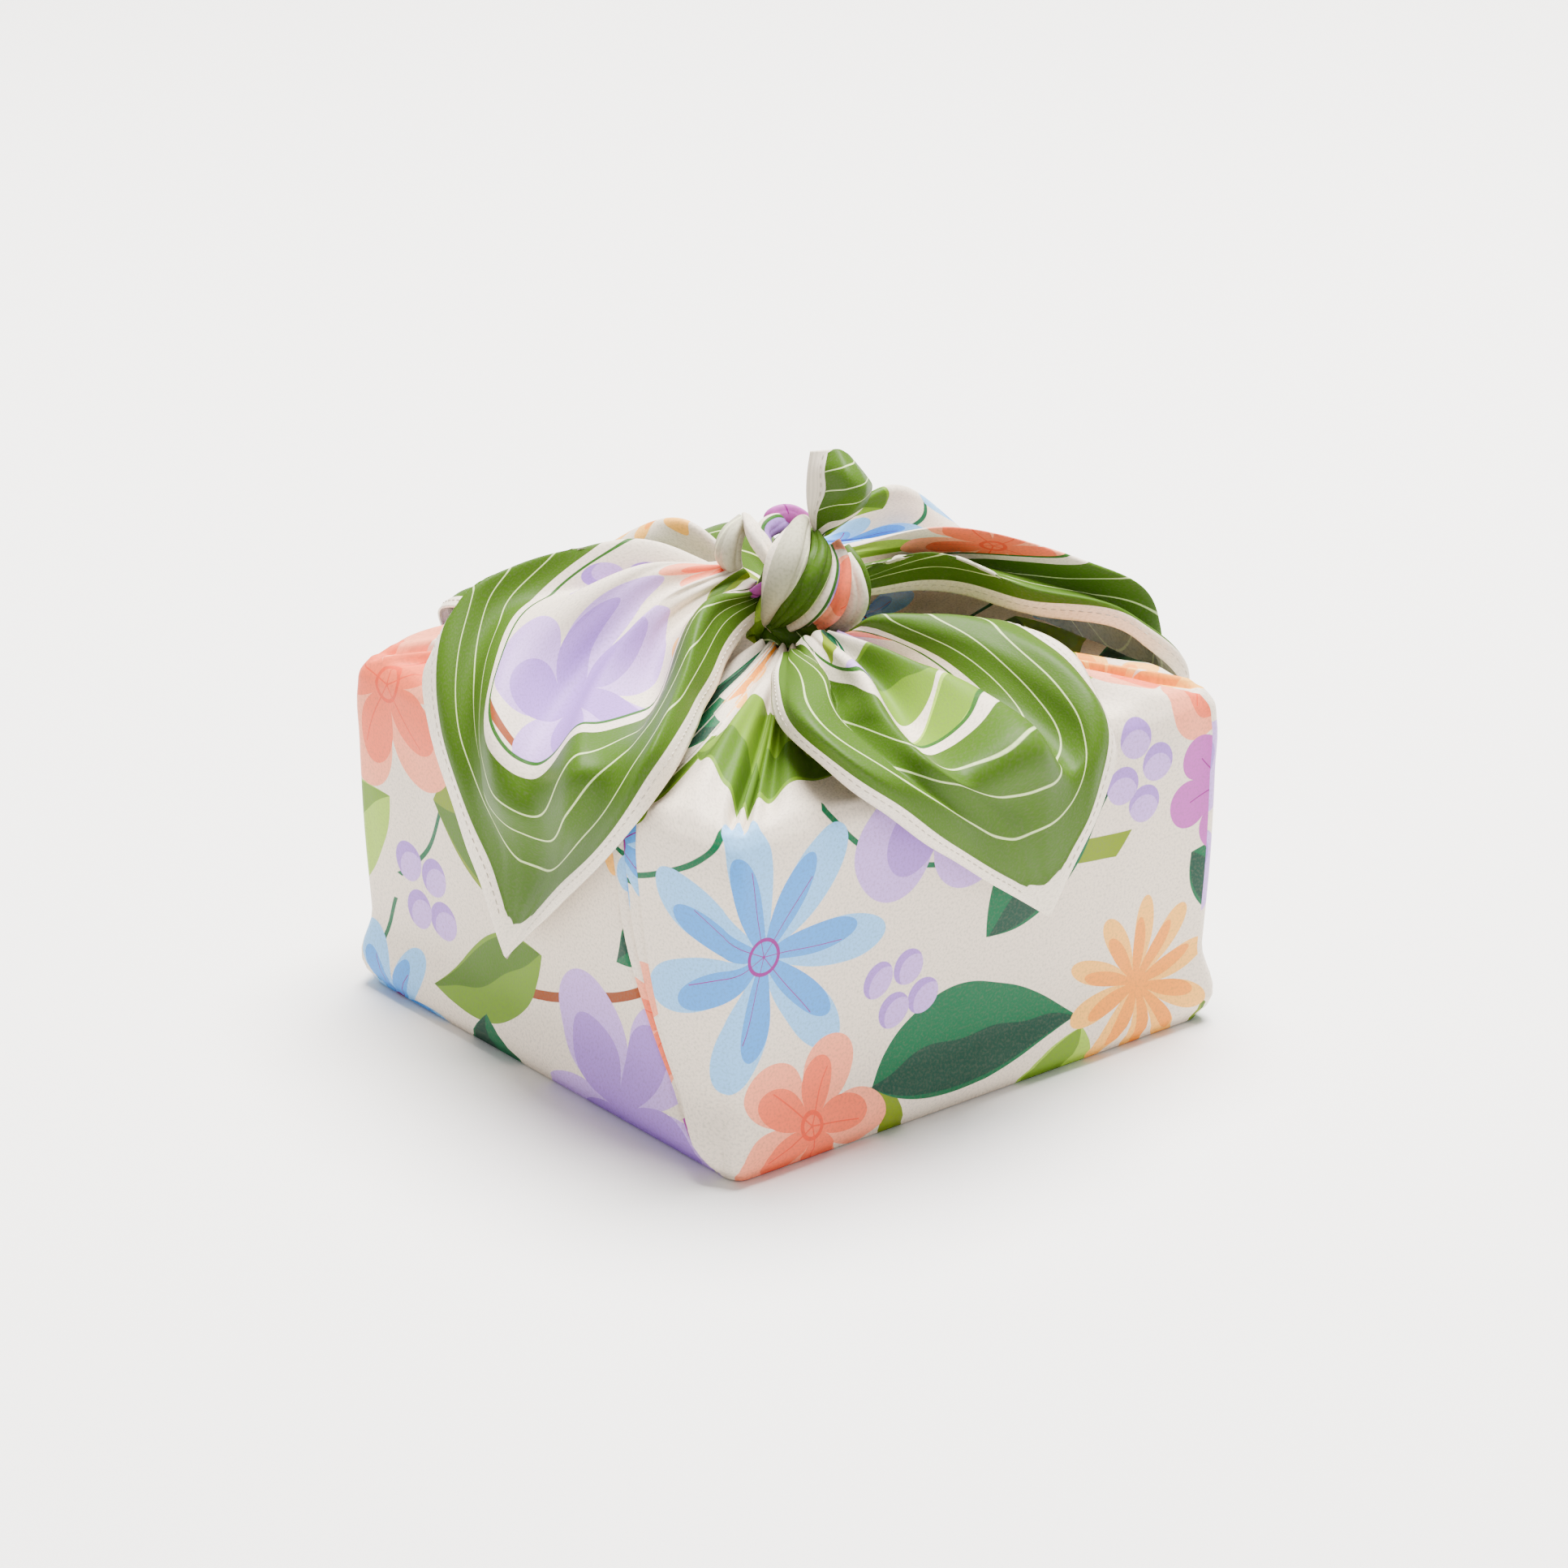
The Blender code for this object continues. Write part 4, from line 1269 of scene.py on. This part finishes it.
def berries(cloth_print, centre, turn, radius, places, light, shade):
    """A few round berries with a darker side."""
    x, y = cloth_print.frame(centre, turn)
    for berry_x, berry_y in places:
        dx = x - berry_x * radius
        dy = y - berry_y * radius
        distance = (dx * dx + dy * dy).maths("SQRT")
        cloth_print.lay(cloth_print.inside(radius - distance), light)
        shifted = dx - radius * 0.5
        crescent = (shifted * shifted + dy * dy).maths("SQRT")
        side = cloth_print.inside(radius - distance) * cloth_print.inside(crescent - radius * 0.95)
        cloth_print.lay(side, shade)

# %% Layout of one tile, in metres
STEMS = [
    # (middle, turn, length, width, radius, colour)
    ((-0.020, -0.020), 30.0, 0.170, 0.0080, 0.120, OLIVE),
    ((0.085, -0.010), -65.0, 0.090, 0.0016, 0.060, DEEP),
    ((-0.085, 0.060), 100.0, 0.110, 0.0016, 0.090, DEEP),
    ((0.040, 0.085), 150.0, 0.130, 0.0070, 0.100, OLIVE),
    ((-0.110, -0.070), -10.0, 0.120, 0.0030, 0.150, BROWN),
]
LEAVES = [
    # (middle, turn, length, width, bend, light, shade)
    ((0.030, -0.105), 18.0, 0.078, 0.0150, 4.0, DEEP, DEEP_SHADE),
    ((0.108, 0.058), 62.0, 0.074, 0.0150, -3.0, FRESH, LEAF),
    ((-0.052, 0.028), -38.0, 0.056, 0.0125, 5.0, LEAF, LEAF_SHADE),
    ((-0.008, -0.062), 112.0, 0.050, 0.0110, -5.0, OLIVE, LEAF_SHADE),
    ((0.068, 0.116), -20.0, 0.060, 0.0130, 4.0, DEEP, DEEP_SHADE),
    ((-0.112, -0.010), 80.0, 0.058, 0.0125, 4.0, LEAF, LEAF_SHADE),
    ((-0.003, 0.030), 25.0, 0.070, 0.0190, 5.0, LEAF, LEAF_SHADE),
    ((0.106, -0.032), -80.0, 0.070, 0.0200, -4.0, OLIVE, LEAF_SHADE),
    ((0.046, -0.064), 140.0, 0.054, 0.0150, 4.0, FRESH, LEAF),
    ((-0.076, 0.002), 10.0, 0.056, 0.0150, -5.0, DEEP, DEEP_SHADE),
    ((0.088, 0.086), 100.0, 0.046, 0.0130, 4.0, LEAF, LEAF_SHADE),
    ((-0.130, -0.094), 60.0, 0.046, 0.0120, 4.0, DEEP, DEEP_SHADE),
]
BLOSSOMS = [
    # (middle, turn, radius, petals, cleft, fullness, light, shade, line)
    ((-0.076, -0.066), 12.0, 0.0430, 5, 0.30, 0.55, LAVENDER, LAVENDER_SHADE, LAVENDER_SHADE),
    ((0.060, 0.014), 40.0, 0.0370, 5, 0.34, 0.50, CORAL, CORAL_SHADE, CORAL_LINE),
    ((-0.030, 0.090), 20.0, 0.0420, 7, 0.22, 1.10, BLUE, BLUE_SHADE, PURPLE),
    ((0.088, -0.084), 5.0, 0.0270, 10, 0.20, 0.80, ORANGE, ORANGE_SHADE, ORANGE_SHADE),
    ((-0.118, 0.092), 60.0, 0.0260, 5, 0.34, 0.50, CORAL, CORAL_SHADE, CORAL_LINE),
    ((-0.128, -0.128), 36.0, 0.0200, 5, 0.55, 0.60, MAGENTA, MAGENTA, PURPLE),
    ((0.038, 0.078), 70.0, 0.0340, 4, 0.36, 0.50, LAVENDER, LAVENDER_SHADE, LAVENDER_SHADE),
    ((-0.033, -0.016), 15.0, 0.0270, 10, 0.22, 0.80, ORANGE, ORANGE_SHADE, ORANGE_SHADE),
    ((-0.101, 0.045), 50.0, 0.0280, 6, 0.30, 0.90, BLUE, BLUE_SHADE, PURPLE),
    ((-0.031, -0.113), 25.0, 0.0260, 5, 0.34, 0.50, CORAL, CORAL_SHADE, CORAL_LINE),
]
BERRY_PLACES = [(0.0, 0.0), (2.1, 0.7), (0.9, 2.2), (-1.4, 1.5)]
BERRIES = [
    # (middle, turn, radius)
    ((0.024, -0.034), 20.0, 0.0062),
    ((-0.088, 0.128), -50.0, 0.0060),
    ((0.112, 0.112), 110.0, 0.0058),
    ((0.118, 0.010), -20.0, 0.0060),
    ((0.014, 0.122), 60.0, 0.0056),
]

# %% [markdown]
# ## The print as a node group
# Both faces of the cloth need the print: the right side clear, the reverse
# paler. It is made once as a group, and each material calls it.

# %% Make the print group
BAND_FROM = 0.0085
BAND_TO = 0.048
LINE_FROM = 0.052
PRINT_FROM = 0.0532
PALE_LINES = (0.0185, 0.0285, 0.0385)
PALE_LINE_WIDTH = 0.0006
ROUND_CORNER = 0.026
HAND_WAVER = 0.0045


def make_print_group():
    """Node group: place on the flat cloth in, printed colour out."""
    tree = bpy.data.node_groups.new("cloth_print", "ShaderNodeTree")
    tree.interface.new_socket(name="Flat", in_out="INPUT", socket_type="NodeSocketVector")
    tree.interface.new_socket(name="Colour", in_out="OUTPUT", socket_type="NodeSocketColor")
    bench = Bench(tree)
    given = bench.node("NodeGroupInput")
    noise = bench.node("ShaderNodeTexNoise", {"noise_dimensions": "2D"}, {
        "Vector": given.outputs["Flat"], "Scale": 24.0, "Detail": 1.0})
    centred = bench.node("ShaderNodeVectorMath", {"operation": "SUBTRACT"}, {
        0: noise.outputs["Color"], 1: (0.5, 0.5, 0.5)})
    waver = bench.node("ShaderNodeVectorMath", {"operation": "SCALE"}, {
        0: centred.outputs[0], "Scale": HAND_WAVER})
    drawn = bench.node("ShaderNodeVectorMath", {"operation": "ADD"}, {
        0: given.outputs["Flat"], 1: waver.outputs[0]})
    tile = bench.node("ShaderNodeVectorRotate", {"rotation_type": "Z_AXIS"}, {
        "Vector": drawn.outputs[0], "Angle": math.radians(TILE_TURN)})
    on_tile = bench.node("ShaderNodeSeparateXYZ", None, {0: tile.outputs[0]})
    cloth_print = Print(bench, Wire(bench, on_tile.outputs[0]), Wire(bench, on_tile.outputs[1]), GROUND)
    for row in STEMS:
        stem(cloth_print, *row)
    for row in LEAVES:
        leaf(cloth_print, *row)
    for middle, turn, radius in BERRIES:
        berries(cloth_print, middle, turn, radius, BERRY_PLACES, LAVENDER, LAVENDER_SHADE)
    for row in BLOSSOMS:
        blossom(cloth_print, *row)
    field = cloth_print.colour

    on_cloth = bench.node("ShaderNodeSeparateXYZ", None, {0: given.outputs["Flat"]})
    wavy = bench.node("ShaderNodeSeparateXYZ", None, {0: drawn.outputs[0]})
    half = CLOTH_SIDE / 2 * MM
    across, up = (abs(Wire(bench, on_cloth.outputs[i])) for i in range(2))
    from_hem = half - across.maths("MAXIMUM", up)
    across, up = (abs(Wire(bench, wavy.outputs[i])) for i in range(2))
    rounded = half - across.maths("SMOOTH_MAX", up, ROUND_CORNER)
    border = Print(bench, None, None, MARGIN)
    border.lay(border.inside(from_hem - BAND_FROM), GREEN)
    for place in PALE_LINES:
        border.lay(border.inside(PALE_LINE_WIDTH / 2 - abs(rounded - place)), PALE_LINE)
    border.lay(border.inside(rounded - BAND_TO), GROUND)
    border.lay(border.inside(rounded - LINE_FROM), LINE_GREEN)
    border.lay(border.inside(rounded - PRINT_FROM), field)
    bench.node("NodeGroupOutput", None, {0: border.colour})
    return tree


print_group = make_print_group()
print("print group nodes", len(print_group.nodes))

# %% [markdown]
# ## Satin
# Satin is smooth on its right side because long threads float over the weave.
# So it has a soft, wide gloss and a fine grain. Every thread could be modelled,
# but from this far a fine noise does as well: it roughens the surface a little
# and puts a shade between the threads. The reverse is dull and paler, because
# the ink does not quite go through.

# %% Satin materials
WEAVE_SCALE = 1200.0
WEAVE_STRENGTH = 0.16
# Between the floating threads a little shade shows.
WEAVE_LEVEL = 0.44
WEAVE_TONE = 0.9
WEAVE_SHADE = paint(96, 92, 78)
WEAVE_DEPTH = 0.0003
GLOSS_PATCH_SCALE = 60.0
SATIN_SPECULAR = 0.1


def make_satin(name, fade, roughness, spread):
    """Printed satin: the print, paler by fade, and a fine grain in its gloss."""
    material = bpy.data.materials.new(name)
    material.use_nodes = True
    tree = material.node_tree
    tree.nodes.clear()
    bench = Bench(tree)
    place = bench.node("ShaderNodeUVMap", {"uv_map": FLAT_MAP})
    printed = bench.node("ShaderNodeGroup", {"node_tree": print_group}, {0: place.outputs[0]})
    colour = bench.over(fade, printed.outputs[0], MARGIN)
    cloudy = bench.node("ShaderNodeTexNoise", None, {
        "Vector": place.outputs[0], "Scale": GLOSS_PATCH_SCALE, "Detail": 3.0})
    gloss = Wire(bench, cloudy.outputs["Fac"]) * spread + (roughness - spread / 2)
    grain = bench.node("ShaderNodeTexNoise", None, {
        "Vector": place.outputs[0], "Scale": WEAVE_SCALE, "Detail": 1.0})
    bump = bench.node("ShaderNodeBump", None, {
        "Strength": WEAVE_STRENGTH, "Distance": WEAVE_DEPTH, "Height": grain.outputs["Fac"]})
    between = bench.share((Wire(bench, grain.outputs["Fac"]) - WEAVE_LEVEL) * WEAVE_TONE)
    colour = bench.over(between, colour, WEAVE_SHADE)
    shader = bench.node("ShaderNodeBsdfPrincipled", None, {
        "Base Color": colour, "Roughness": gloss, "Normal": bump.outputs[0]})
    shader.inputs["Specular IOR Level"].default_value = SATIN_SPECULAR
    bench.node("ShaderNodeOutputMaterial", None, {0: shader.outputs[0]})
    return material


satin = make_satin("printed_satin", 0.0, 0.46, 0.08)
satin_reverse = make_satin("satin_reverse", 0.55, 0.62, 0.06)
for piece in (wrap_body, *ears, *standing_leaf, *strands):
    faces = (satin_reverse, satin) if piece in reversed_strands else (satin, satin_reverse)
    for material in faces:
        piece.data.materials.append(material)
print("satin ready")

# %% [markdown]
# ## Hem stitches
# A line of small stitches runs 5 mm inside every hem. They are many and follow
# a path, so Geometry Nodes set one stitch at each step along the hem's line.

# %% Lines of the hems
STITCH_FROM_HEM = 5.0
STITCH_PITCH = 2.6
STITCH_LENGTH = 1.7
STITCH_RADIUS = 0.21
STITCH_LIFT = 0.08


def hem_lines(grid, normals, distance_and_angle):
    """The two lines along a draped corner where its hem is stitched."""
    column = HEM_LINES.index(STITCH_FROM_HEM)
    lines = []
    for place in (column, grid.shape[1] - 1 - column):
        rows = distance_and_angle[:, place, 0] > 3 * STITCH_FROM_HEM
        lines.append((grid[:, place] + normals[:, place] * STITCH_LIFT)[rows])
    return lines


def line_piece(name, lines):
    """Edges along several lines of places, as one mesh without faces."""
    mesh = bpy.data.meshes.new(name)
    places = []
    edges = []
    for line in lines:
        start = len(places)
        places += [tuple(p * MM) for p in line]
        edges += [(start + i, start + i + 1) for i in range(len(line) - 1)]
    mesh.from_pydata(places, edges, [])
    return link_piece(name, mesh)


# %% Thread
def make_thread():
    """Pale, slightly glossy sewing thread."""
    material = bpy.data.materials.new("hem_thread")
    material.use_nodes = True
    bench = Bench(material.node_tree)
    shader = material.node_tree.nodes["Principled BSDF"]
    place = bench.node("ShaderNodeTexCoord")
    noise = bench.node("ShaderNodeTexNoise", None, {"Vector": place.outputs["Object"], "Scale": 900.0})
    colour = bench.over(noise.outputs["Fac"], paint(206, 196, 180), paint(190, 180, 164))
    material.node_tree.links.new(colour, shader.inputs["Base Color"])
    shader.inputs["Roughness"].default_value = 0.55
    return material


thread = make_thread()

# %% Geometry Nodes for a row of stitches
def make_stitch_tree():
    """Tree that sets a small rounded stitch at each step along the given lines."""
    tree = bpy.data.node_groups.new("stitch_row", "GeometryNodeTree")
    face = tree.interface
    face.new_socket(name="Lines", in_out="INPUT", socket_type="NodeSocketGeometry")
    for name in ("Pitch", "Stitch length", "Thread radius"):
        face.new_socket(name=name, in_out="INPUT", socket_type="NodeSocketFloat")
    face.new_socket(name="Thread", in_out="INPUT", socket_type="NodeSocketMaterial")
    face.new_socket(name="Stitches", in_out="OUTPUT", socket_type="NodeSocketGeometry")
    bench = Bench(tree)
    given = bench.node("NodeGroupInput").outputs
    curve = bench.node("GeometryNodeMeshToCurve", None, {0: given["Lines"]})
    points = bench.node("GeometryNodeCurveToPoints", {"mode": "LENGTH"}, {
        "Curve": curve.outputs[0], "Length": given["Pitch"]})
    ball = bench.node("GeometryNodeMeshUVSphere", None, {"Segments": 8, "Rings": 6, "Radius": 0.5})
    size = bench.node("ShaderNodeCombineXYZ", None, {
        0: given["Thread radius"], 1: given["Thread radius"], 2: given["Stitch length"]})
    placed = bench.node("GeometryNodeInstanceOnPoints", None, {
        "Points": points.outputs["Points"], "Instance": ball.outputs["Mesh"],
        "Rotation": points.outputs["Rotation"], "Scale": size.outputs[0]})
    real = bench.node("GeometryNodeRealizeInstances", None, {0: placed.outputs[0]})
    smooth = bench.node("GeometryNodeSetShadeSmooth", None, {0: real.outputs[0]})
    dressed = bench.node("GeometryNodeSetMaterial", None, {
        "Geometry": smooth.outputs[0], "Material": given["Thread"]})
    bench.node("NodeGroupOutput", None, {0: dressed.outputs[0]})
    return tree


stitch_tree = make_stitch_tree()


def stitched(name, lines, tree):
    """Stitches along lines, as a plain mesh."""
    guide = line_piece(name + "_guide", lines)
    modifier = guide.modifiers.new("stitches", "NODES")
    modifier.node_group = tree
    wanted = {
        "Pitch": STITCH_PITCH * MM,
        "Stitch length": STITCH_LENGTH * MM,
        "Thread radius": 2 * STITCH_RADIUS * MM,
        "Thread": thread,
    }
    for socket in tree.interface.items_tree:
        if socket.in_out == "INPUT" and socket.name in wanted:
            modifier[socket.identifier] = wanted[socket.name]
    seen = guide.evaluated_get(bpy.context.evaluated_depsgraph_get())
    mesh = bpy.data.meshes.new_from_object(seen)
    guide.modifiers.remove(modifier)
    bpy.data.objects.remove(guide, do_unlink=True)
    mesh.name = name
    return link_piece(name, mesh)


all_lines = [line for stored in ear_grids.values() for line in hem_lines(*stored)] + standing_hem_line
stitches = stitched("hem_stitches", all_lines, stitch_tree)
print("hem_stitches faces", len(stitches.data.polygons))

# %% [markdown]
# ## The box
# Only the cloth shows, but the box is what it is fitted over. Its solid keeps
# its shape and gets a plain card finish.

# %% Card
def make_card():
    """Plain card with faint fibres."""
    material = bpy.data.materials.new("box_card")
    material.use_nodes = True
    bench = Bench(material.node_tree)
    shader = material.node_tree.nodes["Principled BSDF"]
    place = bench.node("ShaderNodeTexCoord")
    fibres = bench.node("ShaderNodeTexNoise", None, {
        "Vector": place.outputs["Object"], "Scale": 400.0, "Detail": 4.0})
    colour = bench.over(fibres.outputs["Fac"], paint(200, 188, 168), paint(188, 174, 152))
    material.node_tree.links.new(colour, shader.inputs["Base Color"])
    bump = bench.node("ShaderNodeBump", None, {
        "Strength": 0.1, "Distance": 0.0002, "Height": fibres.outputs["Fac"]})
    material.node_tree.links.new(bump.outputs[0], shader.inputs["Normal"])
    shader.inputs["Roughness"].default_value = 0.8
    return material


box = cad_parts[BOX_NODE]
box.data.materials.clear()
box.data.materials.append(make_card())

# %% [markdown]
# ## Floor and light
# The picture is high key: a white sweep, a soft fill from all round, and one
# wide key light from overhead and a little behind. It leaves the sides darker
# than the lid, with a pale, soft shadow at the foot of both.

# %% Floor, key light and fill
FLOOR_HALF = 6.0
FLOOR_COLOUR = paint(248, 247, 246)
KEY_FROM = (0.34, 0.2, 1.5)
KEY_DISTANCE = 2.6
KEY_SIZE = 1.9
KEY_POWER = 390.0
KEY_COLOUR = (1.0, 0.97, 0.93)
FILL = 0.62
FILL_COLOUR = (0.97, 0.98, 1.0, 1.0)


def make_floor():
    """A wide pale floor."""
    bm = bmesh.new()
    bmesh.ops.create_grid(bm, x_segments=1, y_segments=1, size=FLOOR_HALF)
    mesh = bpy.data.meshes.new("floor")
    bm.to_mesh(mesh)
    bm.free()
    floor = link_piece("floor", mesh)
    material = bpy.data.materials.new("floor")
    material.use_nodes = True
    shader = material.node_tree.nodes["Principled BSDF"]
    shader.inputs["Base Color"].default_value = FLOOR_COLOUR
    shader.inputs["Roughness"].default_value = 0.9
    shader.inputs["Specular IOR Level"].default_value = 0.1
    mesh.materials.append(material)
    return floor


def make_area_light(name, towards, distance, size, power, colour):
    """A round soft light that faces the wrap."""
    light = bpy.data.lights.new(name, "AREA")
    light.shape = "DISK"
    light.size = size
    light.energy = power
    light.color = colour
    item = bpy.data.objects.new(name, light)
    direction = np.array(towards, float)
    direction /= np.linalg.norm(direction)
    item.location = tuple(direction * distance)
    bpy.context.scene.collection.objects.link(item)
    item.rotation_euler = item.location.to_track_quat("Z", "Y").to_euler()
    return item


make_floor()
make_area_light("key", KEY_FROM, KEY_DISTANCE, KEY_SIZE, KEY_POWER, KEY_COLOUR)
world = bpy.data.worlds.new("studio")
world.use_nodes = True
world.node_tree.nodes["Background"].inputs[0].default_value = FILL_COLOUR
world.node_tree.nodes["Background"].inputs[1].default_value = FILL
bpy.context.scene.world = world
print("light ready")

# %% [markdown]
# ## Putting each piece on the body
# Every piece rides on the one body, and the cloth's solid is hidden. For each
# draped corner the size of its cut in the flat is printed beside the area of the
# sheet that was made, because a wrapped cloth has to come out of one square.

OPEN_SHARE = 0.8


def ear_cut(name):
    """A draped corner's open cloth as cut: a quarter disc round the corner's point."""
    radius = OPEN_SHARE * float(ear_grids[name][2][0, :, 0].mean()) * MM
    return radius, math.pi / 4 * radius ** 2


def surface_area(piece):
    """Area of a piece's one layer, in square metres."""
    return sum(polygon.area for polygon in piece.data.polygons)


for piece in (wrap_body, *ears, *standing_leaf, *strands, stitches):
    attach(piece, BODY)
    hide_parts(CLOTH_NODE)

for piece in ears:
    radius, area = ear_cut(piece.name)
    print(piece.name, "cut", round(radius, 3), "area", round(area, 4), "made", round(surface_area(piece), 4))
